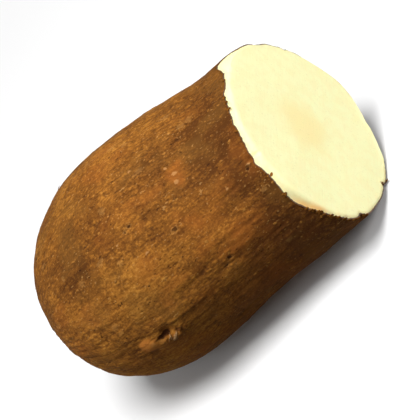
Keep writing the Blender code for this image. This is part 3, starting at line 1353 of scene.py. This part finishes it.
@dataclass(frozen=True)
class BarkFinish:
    """Corky skin, mottled ochre and umber, finely pebbled, with lengthwise dashes and pale specks.

    The skin's tone runs from dark to tan over a ramp. Each layer of noise swings it by a depth.
    Broad patches add the skin's own tone with painted light and shade, the relief adds painted shade
    in its hollows and painted highlight on its rises, and painted shade darkens it towards the neck.
    """

    pit: Colour = (0.018, 0.006, 0.002)
    dark: Colour = (0.090, 0.029, 0.004)
    umber: Colour = (0.195, 0.070, 0.009)
    brown: Colour = (0.310, 0.118, 0.015)
    ochre: Colour = (0.430, 0.182, 0.026)
    tan: Colour = (0.600, 0.320, 0.090)
    rust: Colour = (0.370, 0.110, 0.015)
    olive: Colour = (0.215, 0.098, 0.017)
    bald: Colour = (0.430, 0.150, 0.024)
    cleft: Colour = (0.062, 0.017, 0.004)
    chaff: Colour = (0.520, 0.260, 0.090)
    roughness: float = 0.88
    speck_gloss: float = 0.15
    specular: float = 0.13
    bump_depth: float = 0.50 * MM

    drift: Cloud = Cloud(15.0 * MM, 3.0, 0.55)
    warmth: Cloud = Cloud((19.0 * MM, 19.0 * MM, 26.0 * MM))
    streak: Cloud = Cloud((2.4 * MM, 2.4 * MM, 20.0 * MM))
    dash: Cloud = Cloud((0.80 * MM, 0.80 * MM, 2.6 * MM), 3.0, 0.6)
    crumb: Cloud = Cloud(1.0 * MM, 3.0, 0.65)
    pebbled: Cloud = Cloud(10.0 * MM)
    pebbled_edge: Band = (0.40, 0.60)
    pebble_size: Triple = (1.9 * MM, 1.9 * MM, 2.9 * MM)
    specks: Spots = Spots(width=1.0 * MM, edge=(0.655, 0.720), patch=Cloud(7.0 * MM, 2.0, 0.6))
    pores: Spots = Spots(width=1.3 * MM, edge=(0.325, 0.260), patch=Cloud(9.0 * MM, 2.0, 0.6))

    tone: float = 0.395
    drift_depth: float = 0.50
    streak_depth: float = 0.16
    dash_depth: float = 0.60
    crumb_depth: float = 0.72
    pebble_average: float = 0.42
    pebble_depth: Band = (0.12, 0.18)
    # Painted shade and highlight: the tone darkens where the relief sinks and lightens where it rises.
    relief_painted_shade: float = 0.09
    # Painted shade that darkens the skin towards the neck, over a reach of stations.
    neck_painted_shade: float = 0.060
    neck_painted_shade_reach: Band = (0.088, 0.124)
    stops: tuple[float, ...] = (0.12, 0.36, 0.50, 0.66, 0.92)

    warm_edge: Band = (0.52, 0.66)
    warm_share: float = 0.25
    cool_edge: Band = (0.46, 0.32)
    cool_share: float = 0.30
    rust_share: Band = (0.35, 0.60)
    speck_share: float = 0.38
    pore_share: float = 0.65
    knot_ragged: float = 0.9
    knot_ring: tuple[Band, Band] = ((0.10, 0.30), (0.70, 0.45))
    knot_ring_share: float = 0.16
    knot_core: Band = (0.42, 0.85)
    knot_core_share: float = 0.70
    chaff_ragged: float = 1.3
    chaff_edge: Band = (0.35, 0.75)
    chaff_share: float = 0.50

    bald_stain: Stain = Stain(start=5.4 * MM, full=3.2 * MM, share=0.85, ragged=4.0 * MM)
    # Painted shadow under the bald lump.
    lump_painted_shadow: Stain = Stain(start=3.4 * MM, full=1.4 * MM, share=0.75, ragged=3.0 * MM)
    scar_share: float = 0.35
    lip_edge: Band = (0.45, 1.0)
    lip_share: float = 0.6
    cleft_edge: Band = (-0.15, -0.80)
    cleft_share: float = 0.92

    dash_bump: float = 0.35
    crumb_bump: float = 0.35
    streak_bump: float = 0.30
    pebble_bump: Band = (0.15, 0.35)
    speck_bump: float = 0.15
    pore_bump: float = 0.5

    def material(self, name: str, lie: Lie, scar: BudScar) -> bpy.types.Material:
        """Builds the finish.

        Args:
            name: The material's name.
            lie: Where the tuber lies, for the stains that have a place.
            scar: The bud scar, which has its own colours.

        Returns:
            The material.
        """
        shader = Shader(name)
        place = shader.place()
        grain = shader.attribute("grain", "Vector")
        relief = shader.attribute("relief")
        drift = shader.clouds(place, self.drift)
        streak = shader.clouds(grain, self.streak)
        dash = shader.clouds(grain, self.dash)
        crumb = shader.clouds(place, self.crumb)
        pebble = shader.cells(grain, self.pebble_size)
        pebbled = shader.clouds(place, self.pebbled).rises(*self.pebbled_edge)
        # Painted shade: the skin darkens towards the neck.
        neck = shader.part(grain, "Z").rises(*self.neck_painted_shade_reach)
        # The broad patches add the skin's own tone with painted light and shade.
        tone = self.tone + shader.attribute("shade") + drift.swing(self.drift_depth)
        tone = tone + streak.swing(self.streak_depth) + dash.swing(self.dash_depth)
        tone = tone + crumb.swing(self.crumb_depth)
        tone = tone - (pebble - self.pebble_average) * self._graded(pebbled, self.pebble_depth)
        # Painted shade and highlight from the relief, and painted shade towards the neck.
        tone = tone + relief * self.relief_painted_shade - neck * self.neck_painted_shade
        colours = (self.dark, self.umber, self.brown, self.ochre, self.tan)
        colour = shader.ramp(tone, tuple(zip(self.stops, colours)))

        specks, pores = self.specks.mask(shader, grain), self.pores.mask(shader, grain)
        colour = self._weathered(shader, colour, grain, crumb)
        colour = shader.mix(specks * self.speck_share, colour, self.tan)
        colour = shader.mix(pores * self.pore_share, colour, self.pit)
        colour = self._marked(shader, colour, crumb)
        colour = self._scarred(shader, colour, dash, lie, scar)
        shader.set(Base_Color=colour, Roughness=self.roughness - specks * self.speck_gloss)
        shader.set(Specular_IOR_Level=self.specular)
        height = dash * self.dash_bump + crumb * self.crumb_bump + streak * self.streak_bump
        height = height - pebble * self._graded(pebbled, self.pebble_bump)
        height = height + specks * self.speck_bump - pores * self.pore_bump
        shader.bump(height, self.bump_depth)
        return shader.material

    @staticmethod
    def _graded(wire: Wire, grade: Band) -> Wire:
        """A least amount, plus a slope times a value."""
        least, slope = grade
        return least + wire * slope

    def _weathered(self, shader: Shader, colour: Wire, grain: Wire, crumb: Wire) -> Wire:
        """Warms some areas of the skin, cools others and stains some with rust.

        Args:
            shader: The material.
            colour: The skin's colour so far.
            grain: Coordinates that follow the skin.
            crumb: Fine noise that frays outlines.

        Returns:
            The new colour.
        """
        warmth = shader.clouds(grain, self.warmth)
        colour = shader.mix(warmth.rises(*self.warm_edge) * self.warm_share, colour, self.rust)
        colour = shader.mix(warmth.rises(*self.cool_edge) * self.cool_share, colour, self.olive)
        rusty = shader.attribute("rust") * self._graded(crumb, self.rust_share)
        return shader.mix(rusty, colour, self.rust)

    def _marked(self, shader: Shader, colour: Wire, crumb: Wire) -> Wire:
        """Rings the knots and pits in tan, darkens their cores, and lays flakes of chaff.

        Args:
            shader: The material.
            colour: The skin's colour so far.
            crumb: Fine noise that frays outlines.

        Returns:
            The new colour.
        """
        knot = shader.attribute("knot") + crumb.swing(self.knot_ragged)
        chaff = shader.attribute("pale") + crumb.swing(self.chaff_ragged)
        inner, outer = self.knot_ring
        ring = knot.rises(*inner) * knot.rises(*outer) * self.knot_ring_share
        colour = shader.mix(ring, colour, self.tan)
        colour = shader.mix(knot.rises(*self.knot_core) * self.knot_core_share, colour, self.pit)
        return shader.mix(chaff.rises(*self.chaff_edge) * self.chaff_share, colour, self.chaff)

    def _scarred(self, shader: Shader, colour: Wire, dash: Wire, lie: Lie, scar: BudScar) -> Wire:
        """Colours the bud scar's cleft, its raised lips and the bald lump beside it, and paints a shadow
        under the lump.

        Args:
            shader: The material.
            colour: The skin's colour so far.
            dash: Fine noise that frays outlines.
            lie: Where the tuber lies.
            scar: The bud scar.

        Returns:
            The new colour.
        """
        place, relief, near = shader.place(), shader.attribute("relief"), shader.attribute("scar")
        bald = self.bald_stain.mask(shader, place, scar.place(lie, scar.lump_middle), dash)
        # Painted shadow under the bald lump.
        under = self.lump_painted_shadow.mask(shader, place, scar.place(lie, scar.lump_shadow_middle), dash)
        colour = shader.mix(bald, colour, self.bald)
        colour = shader.mix(near * self.scar_share, colour, self.umber)
        colour = shader.mix(near * relief.rises(*self.lip_edge) * self.lip_share, colour, self.tan)
        # The painted shadow darkens the skin under the lump.
        colour = shader.mix(under, colour, self.dark)
        return shader.mix(near * relief.rises(*self.cleft_edge) * self.cleft_share, colour, self.cleft)


@dataclass(frozen=True)
class CutFinish:
    """Fresh pale flesh inside a thin brown skin line, a little moist."""

    flesh: Colour = (0.940, 0.915, 0.500)
    heart: Colour = (0.920, 0.780, 0.360)
    cortex: Colour = (0.900, 0.720, 0.320)
    bruise: Colour = (0.850, 0.480, 0.140)
    speck: Colour = (0.740, 0.660, 0.330)
    cork: Colour = (0.085, 0.036, 0.009)
    roughness: float = 0.46
    grit_roughness: float = 0.12
    specular: float = 0.4
    scatter: float = 0.12
    scatter_depth: float = 1.0 * MM
    bump_depth: float = 0.10 * MM

    ragged: Cloud = Cloud(1.1 * MM, 3.0, 0.65)
    ragged_depth: float = 0.7 * MM
    heart_cloud: Cloud = Cloud(9.0 * MM)
    heart_stain: Stain = Stain(start=21.0 * MM, full=4.0 * MM, share=0.90, ragged=16.0 * MM)
    dots: Cloud = Cloud(0.95 * MM, 1.0)
    dots_edge: Band = (0.63, 0.72)
    dots_share: float = 0.30
    blotch: Cloud = Cloud(6.0 * MM, 3.0, 0.6)
    blotch_edge: Band = (0.42, 0.62)
    blotch_share: float = 0.24
    drag: Cloud = Cloud((26.0 * MM, 9.0 * MM, 0.7 * MM))
    drag_edge: Band = (0.50, 0.66)
    drag_share: float = 0.16
    grit: Cloud = Cloud(0.45 * MM, 2.0, 0.6)
    cork_width: float = 0.80 * MM
    cork_fade: float = 0.7
    cortex_width: float = 2.6 * MM
    cortex_share: float = 0.40
    bruise_place: Triple = (0.1415, -38.0, 45.2 * MM)
    bruise_width: float = 1.5
    bruise_stain: Stain = Stain(start=12.0 * MM, full=4.0 * MM, share=0.85)

    drag_bump: float = 0.6
    grit_bump: float = 0.35
    dots_bump: float = 0.4

    def material(self, name: str, lie: Lie, cut: CutFace) -> bpy.types.Material:
        """Builds the finish.

        Args:
            name: The material's name.
            lie: Where the tuber lies, for the stains that have a place.
            cut: The cut face, which says where its heart is.

        Returns:
            The material.
        """
        shader = Shader(name)
        place = shader.place()
        ragged = shader.clouds(place, self.ragged)
        edge = shader.attribute("inset") + ragged.swing(self.ragged_depth)
        heart_cloud = shader.clouds(place, self.heart_cloud)
        heart = self.heart_stain.mask(shader, place, lie.place(cut.station, 0.0), heart_cloud)
        dots = shader.clouds(place, self.dots).rises(*self.dots_edge)
        blotch = shader.clouds(place, self.blotch).rises(*self.blotch_edge)
        drag = shader.clouds(place, self.drag)
        grit = shader.clouds(place, self.grit)
        station, degrees, radius = self.bruise_place
        bruised = lie.place(station, math.radians(degrees), radius)
        stain = edge.rises(self.bruise_width * self.cortex_width, self.cork_width)
        stain = stain * self.bruise_stain.mask(shader, place, bruised)

        colour = shader.mix(heart, self.flesh, self.heart)
        colour = shader.mix(blotch * self.blotch_share, colour, self.heart)
        colour = shader.mix(drag.rises(*self.drag_edge) * self.drag_share, colour, self.heart)
        colour = shader.mix(dots * self.dots_share, colour, self.speck)
        rind = edge.rises(self.cortex_width, self.cork_width) * self.cortex_share
        colour = shader.mix(rind, colour, self.cortex)
        colour = shader.mix(stain, colour, self.bruise)
        cork = edge.rises(self.cork_width, self.cork_fade * self.cork_width)
        shader.set(Base_Color=shader.mix(cork, colour, self.cork))
        shader.set(Roughness=self.roughness + grit * self.grit_roughness)
        shader.set(Specular_IOR_Level=self.specular, Subsurface_Weight=self.scatter)
        shader.set(Subsurface_Scale=self.scatter_depth)
        height = drag * self.drag_bump + grit * self.grit_bump - dots * self.dots_bump
        shader.bump(height, self.bump_depth)
        return shader.material


@dataclass(frozen=True)
class FibreFinish:
    """Dry plant fibre, with fine streaks and broader blotches."""

    name: str
    light: Colour
    dark: Colour
    streak: Cloud = Cloud(0.5 * MM, 3.0, 0.6)
    blotch_width: float = 4.0
    streak_share: float = 0.6
    light_edge: Band = (0.36, 0.62)
    roughness: float = 0.8
    specular: float = 0.03
    bump_depth: float = 0.08 * MM

    def material(self) -> bpy.types.Material:
        """Builds the finish.

        Returns:
            The material.
        """
        shader = Shader(self.name)
        place = shader.place()
        streaks = shader.clouds(place, self.streak)
        blotch = shader.clouds(place, Cloud(self.blotch_width * self.streak.size))
        tone = streaks * self.streak_share + blotch * (1.0 - self.streak_share)
        colour = shader.mix(tone.rises(*self.light_edge), self.dark, self.light)
        shader.set(Base_Color=colour, Roughness=self.roughness, Specular_IOR_Level=self.specular)
        shader.bump(streaks, self.bump_depth)
        return shader.material


class Fibre(Enum):
    """The finishes of the small pieces."""

    TORN_SKIN = FibreFinish("torn_skin", light=(0.24, 0.092, 0.014), dark=(0.06, 0.021, 0.004))
    SCAR_FIBRE = FibreFinish("torn_fibre", light=(0.46, 0.265, 0.115), dark=(0.14, 0.062, 0.020))
    ROOTLET = FibreFinish("dry_rootlet", light=(0.26, 0.115, 0.026), dark=(0.06, 0.024, 0.006))
    CORK_SCALE = FibreFinish("cork_scale", light=(0.37, 0.160, 0.032), dark=(0.17, 0.063, 0.010),
                             streak=Cloud(0.9 * MM, 3.0, 0.6))


@dataclass(frozen=True)
class FloorFinish:
    """A plain pale studio floor, very faintly uneven, that runs out into the bright backdrop."""

    colour: Colour = (0.91, 0.91, 0.91)
    uneven: Cloud = Cloud(0.25)
    darker: float = 0.985
    backdrop: Colour = (0.98, 0.98, 0.98)
    roughness: float = 0.80
    fade: Band = (0.20, 0.75)

    def material(self, name: str) -> bpy.types.Material:
        """Builds the finish.

        Args:
            name: The material's name.

        Returns:
            The material.
        """
        shader = Shader(name)
        place = shader.place()
        far = shader.away_from(place, Vector()).rises(*self.fade)
        darker = tuple(self.darker * part for part in self.colour)
        plain = shader.mix(shader.clouds(place, self.uneven), darker, self.colour)
        shader.set(Base_Color=shader.mix(far, plain, BLACK), Roughness=self.roughness)
        shader.set(Emission_Color=shader.mix(far, BLACK, self.backdrop), Emission_Strength=1.0)
        return shader.material


def join_pieces(pieces: list[bpy.types.Object], name: str, finish: Fibre) -> bpy.types.Object:
    """Joins mesh objects into one piece with its place in its mesh.

    Args:
        pieces: The objects, which become one.
        name: The piece's name.
        finish: What the piece is dressed in.

    Returns:
        The joined piece.
    """
    deselect_all()
    for piece in pieces:
        piece.select_set(True)
    bpy.context.view_layer.objects.active = pieces[0]
    bpy.ops.object.join()
    joined = bpy.context.object
    bpy.ops.object.transform_apply(location=True, rotation=True, scale=True)
    joined.name = joined.data.name = name
    dress(joined, finish.value.material())
    return joined


@dataclass(frozen=True)
class Thread:
    """A thin tapering thread, modelled along a route as a closed mesh."""

    route: Sequence[Vector]
    radii: Sequence[float]
    order: int = 3
    resolution: int = 3
    merge: float = 0.01 * MM

    def build(self) -> bpy.types.Object:
        """Models the thread.

        Returns:
            The thread's object.
        """
        deselect_all()
        bpy.ops.curve.primitive_nurbs_path_add()
        curve = bpy.context.object
        curve.data.splines.clear()
        spline = curve.data.splines.new("NURBS")
        spline.points.add(len(self.route) - 1)
        for point, place, radius in zip(spline.points, self.route, self.radii):
            point.co = (*place, 1.0)
            point.radius = radius / MM
        spline.use_endpoint_u = True
        spline.order_u = self.order
        spline.resolution_u = self.resolution
        curve.data.bevel_depth = MM
        curve.data.bevel_resolution = 1
        curve.data.use_fill_caps = True
        bpy.ops.object.convert(target="MESH")
        turn_outwards(merge=self.merge)
        bpy.ops.object.shade_smooth()
        return bpy.context.object


@dataclass
class Rootlets:
    """Short dry rootlets and their stubs, strewn over the skin."""

    skin: Skin
    count: int = 34
    seed: int = 19
    stations: Band = (0.012, 0.140)
    degrees: Band = (-100.0, 215.0)
    length: Band = (1.0 * MM, 4.5 * MM)
    shortness: float = 2.4
    radius: Band = (0.14 * MM, 0.30 * MM)
    sunk: float = 0.6 * MM
    points: int = 7
    rise: Band = (0.55, -0.42)
    drift: Band = (0.15, 0.75)
    sway: float = 0.04
    taper: float = 0.72

    def build(self) -> bpy.types.Object:
        """Models the rootlets as one piece."""
        draw = np.random.default_rng(self.seed)
        return join_pieces([self._rootlet(draw) for _ in range(self.count)], "rootlets", Fibre.ROOTLET)

    def _rootlet(self, draw: np.random.Generator) -> bpy.types.Object:
        """One rootlet: out of the skin, then bent over along it.

        Args:
            draw: The seeded draw.

        Returns:
            The rootlet's object.
        """
        station = draw.uniform(*self.stations)
        angle = math.radians(draw.uniform(*self.degrees))
        shortest, longest = self.length
        length = shortest + (longest - shortest) * draw.uniform() ** self.shortness
        radius = draw.uniform(*self.radius)
        foot, normal = self.skin.spot(station, angle)
        lean = Vector(draw.normal(size=3))
        lean = (lean - lean.dot(normal) * normal).normalized()
        route, radii = [], []
        for share in np.linspace(0.0, 1.0, self.points):
            rise = length * (self.rise[0] * share + self.rise[1] * share**2)
            drift = length * (self.drift[0] * share + self.drift[1] * share**2)
            sway = Vector(draw.normal(size=3)) * self.sway * length * share
            route.append(foot + normal * (rise - self.sunk * (1.0 - share)) + lean * drift + sway)
            radii.append(radius * (1.0 - self.taper * share))
        return Thread(route, radii).build()


@dataclass
class ScarFibres:
    """Pale torn fibres that stand in the bud scar.

    The places and the leans are drawn round a middle with a spread.
    """

    skin: Skin
    scar: BudScar
    count: int = 13
    seed: int = 5
    along: Band = (2.9 * MM, 1.6 * MM)
    degrees: Band = (-3.2, 0.9)
    lean_round: Band = (0.75, 0.2)
    lean_along: Band = (0.62, 0.2)
    length: Band = (2.2 * MM, 4.2 * MM)
    radius: Band = (0.18 * MM, 0.42 * MM)
    lift: float = 0.30 * MM
    points: int = 6
    taper: float = 0.6

    def build(self) -> bpy.types.Object:
        """Models the fibres as one piece."""
        draw = np.random.default_rng(self.seed)
        return join_pieces([self._fibre(draw) for _ in range(self.count)], "scar_fibres", Fibre.SCAR_FIBRE)

    def _fibre(self, draw: np.random.Generator) -> bpy.types.Object:
        """One fibre, mostly across the tuber's length, bridging the cleft's lower side.

        Args:
            draw: The seeded draw.

        Returns:
            The fibre's object.
        """
        station = self.scar.station + draw.normal(*self.along)
        angle = math.radians(self.scar.degrees + draw.normal(*self.degrees))
        foot, normal = self.skin.spot(station, angle)
        along = self.skin.tuber.lie.along
        round_way = normal.cross(along).normalized()
        lean = round_way * draw.normal(*self.lean_round) + along * draw.normal(*self.lean_along)
        lean.normalize()
        length = draw.uniform(*self.length)
        radius = draw.uniform(*self.radius)
        route, radii = [], []
        for share in np.linspace(-1.0, 1.0, self.points):
            lift = self.lift * (1.0 - share**2)
            route.append(foot + lean * (0.5 * share * length) + normal * lift)
            radii.append(radius * (1.0 - self.taper * abs(share)))
        return Thread(route, radii).build()


class Stretch(NamedTuple):
    """A stretch of the rim between two angles, in degrees, and its number of shreds."""

    start: float
    end: float
    count: int


@dataclass
class RimShreds:
    """Shreds of skin that the knife left standing over the edge of the cut."""

    skin: Skin
    seed: int = 31
    stretches: tuple[Stretch, ...] = (
        Stretch(start=-82.0, end=-36.0, count=26),
        Stretch(start=-36.0, end=-20.0, count=3),
        Stretch(start=22.0, end=60.0, count=5),
        Stretch(start=-118.0, end=-106.0, count=2),
    )
    length: Band = (1.3 * MM, 2.3 * MM)
    width: Band = (0.8 * MM, 2.0 * MM)
    thickness: float = 0.30 * MM
    foot_back: float = 0.9 * MM
    turn: float = 0.25
    curl: float = 0.10
    columns: int = 6
    rows: int = 3
    wander: float = 0.5
    wander_pace: Triple = (3.0, 1.5, 9.0)
    taper: float = 0.55
    taper_ease: float = 1.6
    arch: float = 0.12 * MM
    sunk: float = 0.05 * MM

    def build(self) -> bpy.types.Object:
        """Models the shreds as one piece.

        Returns:
            The joined shreds.
        """
        draw = np.random.default_rng(self.seed)
        shreds = []
        for stretch in self.stretches:
            for _ in range(stretch.count):
                angle = math.radians(draw.uniform(stretch.start, stretch.end))
                shreds.append(self._shred(draw, angle))
        return join_pieces(shreds, "rim_shreds", Fibre.TORN_SKIN)

    def _shred(self, draw: np.random.Generator, angle: float) -> bpy.types.Object:
        """One shred: a small tapering flap that starts on the skin and ends past the cut.

        Args:
            draw: The seeded draw.
            angle: The shred's angle round the axis.

        Returns:
            The shred's object.
        """
        length, width = draw.uniform(*self.length), draw.uniform(*self.width)
        foot, normal = self.skin.spot(self.skin.tuber.skin_edge(angle) - self.foot_back, angle)
        forward = self.skin.towards_cut(normal)
        forward = (forward + forward.cross(normal) * draw.normal(0.0, self.turn)).normalized()
        side = forward.cross(normal)
        curl = draw.normal(0.0, self.curl)
        deselect_all()
        bpy.ops.mesh.primitive_grid_add(x_subdivisions=self.columns, y_subdivisions=self.rows, size=1.0)
        flap = bpy.context.object
        for vertex in flap.data.vertices:
            reach, off = vertex.co.x + 0.5, vertex.co.y * 2.0
            paces = (part * pace for part, pace in zip((reach, off, angle), self.wander_pace))
            wander = 1.0 + self.wander * noise.noise(tuple(paces))
            half_width = 0.5 * width * (1.0 - self.taper * reach**self.taper_ease) * wander
            lift = self.arch * (1.0 - off * off) + curl * length * reach * reach - self.sunk
            vertex.co = foot + forward * (reach * length) + side * (off * half_width) + normal * lift
        thick = flap.modifiers.new("thick", "SOLIDIFY")
        thick.thickness = self.thickness
        thick.offset = -1.0
        bpy.ops.object.modifier_apply(modifier=thick.name)
        turn_outwards()
        bpy.ops.object.shade_smooth()
        return flap


@dataclass
class CorkScales:
    """Thin scales of cork that lift off the skin, lengthwise."""

    skin: Skin
    count: int = 420
    seed: int = 3
    stations: Band = (0.010, 0.143)
    length: Band = (0.9 * MM, 2.6 * MM)
    slimness: Band = (0.35, 0.7)
    thickness: float = 0.16 * MM
    corners: int = 9
    top_width: float = 0.72
    turn: float = 0.3
    tip: float = 0.05
    ragged: float = 0.3
    ragged_pace: Triple = (3.0, 3.0, 900.0)
    sunk: float = 0.45

    def build(self) -> bpy.types.Object:
        """Models one scale, copies it over the skin and joins the copies.

        Returns:
            The joined scales.
        """
        draw = np.random.default_rng(self.seed)
        pattern = self._pattern()
        scales = [self._copy(draw, pattern) for _ in range(self.count)]
        bpy.data.objects.remove(pattern)
        return join_pieces(scales, "cork_scales", Fibre.CORK_SCALE)

    def _pattern(self) -> bpy.types.Object:
        """A flat scale with a thin free edge, one unit long and wide and high.

        Returns:
            The scale's object.
        """
        deselect_all()
        bpy.ops.mesh.primitive_circle_add(vertices=self.corners, radius=0.5, fill_type="NGON")
        scale = bpy.context.object
        bpy.ops.object.mode_set(mode="EDIT")
        bpy.ops.mesh.select_all(action="SELECT")
        bpy.ops.mesh.extrude_region_move(TRANSFORM_OT_translate={"value": (0.0, 0.0, 1.0)})
        bpy.ops.transform.resize(value=(self.top_width, self.top_width, 1.0))
        bpy.ops.object.mode_set(mode="OBJECT")
        turn_outwards()
        return scale

    def _copy(self, draw: np.random.Generator, pattern: bpy.types.Object) -> bpy.types.Object:
        """One scale, with its own mesh, laid on the skin.

        Args:
            draw: The seeded draw.
            pattern: The scale that is copied.

        Returns:
            The copy.
        """
        station = draw.uniform(*self.stations)
        foot, normal = self.skin.spot(station, draw.uniform(-math.pi, math.pi))
        length = draw.uniform(*self.length)
        width = length * draw.uniform(*self.slimness)
        forward = self.skin.towards_cut(normal)
        forward = forward + normal.cross(forward) * draw.normal(0.0, self.turn)
        forward = (forward + normal * draw.normal(0.0, self.tip)).normalized()
        side = normal.cross(forward).normalized()
        up = forward.cross(side)
        scale = pattern.copy()
        scale.data = pattern.data.copy()
        bpy.context.collection.objects.link(scale)
        for vertex in scale.data.vertices:
            x, y, z = vertex.co
            paces = (part * pace for part, pace in zip((x, y, station), self.ragged_pace))
            ragged = 1.0 + self.ragged * noise.noise(tuple(paces))
            lift = up * (z - self.sunk) * self.thickness
            vertex.co = foot + forward * (x * ragged * length) + side * (y * ragged * width) + lift
        return scale


@dataclass(frozen=True)
class Softbox:
    """A soft square light, placed as seen in the picture."""

    name: str
    right: float
    up: float
    towards: float
    size: float
    share: float
    distance: float = 1.4


@dataclass
class Studio:
    """The plain floor, the soft lights and the camera."""

    lie: Lie
    axis_from_sight: float = math.radians(71.5)
    axis_in_picture: float = math.radians(41.0)
    distance: float = 1.0
    fill: float = 0.84
    framing_rounds: int = 3
    sensor: float = 36.0
    clip: Band = (0.05, 50.0)
    floor_size: float = 8.0
    sky: float = 0.18
    ground: float = 0.05
    sky_fade: Band = (-0.7, 0.3)
    backdrop: float = 0.98
    softboxes: tuple[Softbox, ...] = (
        Softbox("key_light", right=-0.55, up=0.40, towards=0.73, size=0.7, share=1.18),
        Softbox("cut_light", right=0.48, up=0.79, towards=0.38, size=0.55, share=0.66),
        Softbox("end_light", right=-0.80, up=-0.50, towards=0.40, size=0.7, share=0.17),
    )

    def build(self, tuber: bpy.types.Object) -> None:
        """Adds the camera, the lights, the sky and the floor.

        Args:
            tuber: The finished tuber.
        """
        right, up, back = self._camera_axes()
        target = self._camera(tuber, right, up, back)
        for box in self.softboxes:
            self._light(box, target, (box.right * right + box.up * up + box.towards * back).normalized())
        self._sky()
        self._floor()
        bpy.context.scene.view_settings.view_transform = "Standard"

    def _camera_axes(self) -> tuple[Vector, Vector, Vector]:
        """Finds how the camera is turned.

        Returns:
            The picture's right and up, and the way back towards the camera.
        """
        along, best = self.lie.along, self.lie.best
        back = math.cos(self.axis_from_sight) * along + math.sin(self.axis_from_sight) * best
        flat = (along - along.dot(back) * back).normalized()
        side = back.cross(flat)
        turn = self.axis_in_picture
        right = math.cos(turn) * flat - math.sin(turn) * side
        return right, math.sin(turn) * flat + math.cos(turn) * side, back

    def _camera(self, tuber: bpy.types.Object, right: Vector, up: Vector, back: Vector) -> Vector:
        """Aims the camera at the middle of the tuber's outline, and fills the picture with it.

        Args:
            tuber: The finished tuber.
            right: The picture's right.
            up: The picture's up.
            back: The way from the tuber to the camera.

        Returns:
            The point that the camera looks at.
        """
        places = coordinates(tuber.data)
        middle = 0.5 * (places.min(axis=0) + places.max(axis=0))
        for _ in range(self.framing_rounds):
            away = places - middle
            scale = self.distance / (self.distance - away @ np.array(back))
            across, high = away @ np.array(right) * scale, away @ np.array(up) * scale
            shift_right = 0.5 * (across.min() + across.max())
            shift_up = 0.5 * (high.min() + high.max())
            middle = middle + shift_right * np.array(right) + shift_up * np.array(up)
        reach = max(np.ptp(across), np.ptp(high))
        deselect_all()
        bpy.ops.object.camera_add()
        camera = bpy.context.object
        camera.name = "camera"
        turned = Matrix((right, up, back)).transposed().to_4x4()
        camera.matrix_world = Matrix.Translation(Vector(middle) + self.distance * back) @ turned
        camera.data.sensor_width = self.sensor
        camera.data.lens = self.sensor * self.distance * self.fill / reach
        camera.data.clip_start, camera.data.clip_end = self.clip
        bpy.context.scene.camera = camera
        return Vector(middle)

    def _light(self, box: Softbox, target: Vector, way: Vector) -> None:
        """Hangs one soft light in a direction from the target, facing it.

        Args:
            box: The light's size, distance and share of the brightness.
            target: What it lights.
            way: The direction from the target to the light.
        """
        deselect_all()
        bpy.ops.object.light_add(type="AREA", location=target + box.distance * way)
        light = bpy.context.object
        light.name = box.name
        light.rotation_euler = way.to_track_quat("Z", "Y").to_euler()
        light.data.shape = "SQUARE"
        light.data.size = box.size
        light.data.energy = box.share * (math.pi * box.distance) ** 2

    def _sky(self) -> None:
        """White light from above that fades out below, and a pale backdrop for the camera."""
        world = bpy.data.worlds.new("studio_sky")
        world.use_nodes = True
        graph = Graph(world.node_tree)
        above = graph.part(graph.place(), "Z").rises(*self.sky_fade)
        light = graph.mix(above, (self.ground,) * 3, (self.sky,) * 3)
        seen = graph.node("ShaderNodeLightPath", {}, {}, "Is Camera Ray")
        background = world.node_tree.nodes["Background"]
        graph.feed(background.inputs["Color"], graph.mix(seen, light, (self.backdrop,) * 3))
        bpy.context.scene.world = world

    def _floor(self) -> None:
        """A wide floor that the tuber rests on, and that throws no light back up at it."""
        deselect_all()
        bpy.ops.mesh.primitive_plane_add(size=self.floor_size, location=(0.0, 0.0, 0.0))
        floor = bpy.context.object
        floor.name = "studio_floor"
        dress(floor, FloorFinish().material("pale_floor"))
        floor.visible_diffuse = False
        floor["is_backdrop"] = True


def ride(piece: bpy.types.Object, slot: Slot) -> None:
    """Lets a piece ride on the tuber's body.

    Args:
        piece: The piece.
        slot: Its material slot, not used.
    """
    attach(piece, BODY)
    LOG.info("%s: %d faces", piece.name, len(piece.data.polygons))


def main() -> None:
    """Builds the dressed yam half and its studio."""
    logging.basicConfig(level=logging.INFO, format="%(name)s: %(message)s")
    cad_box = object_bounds()
    lie = Lie()
    tuber = Tuber(SolidProbe(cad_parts[NODE]), lie)
    body = tuber.build()
    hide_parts(NODE)
    ride(body, Slot.SKIN)

    skin = Skin(body, tuber)
    for sub_part in (RimShreds(skin), ScarFibres(skin, tuber.scar), Rootlets(skin), CorkScales(skin)):
        ride(sub_part.build(), Slot.SKIN)

    Studio(lie).build(body)
    boxes = {"cad": cad_box, "visual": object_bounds()}
    {name: [list(corner) for corner in box] for name, box in boxes.items()}


if __name__ == "__main__":
    main()
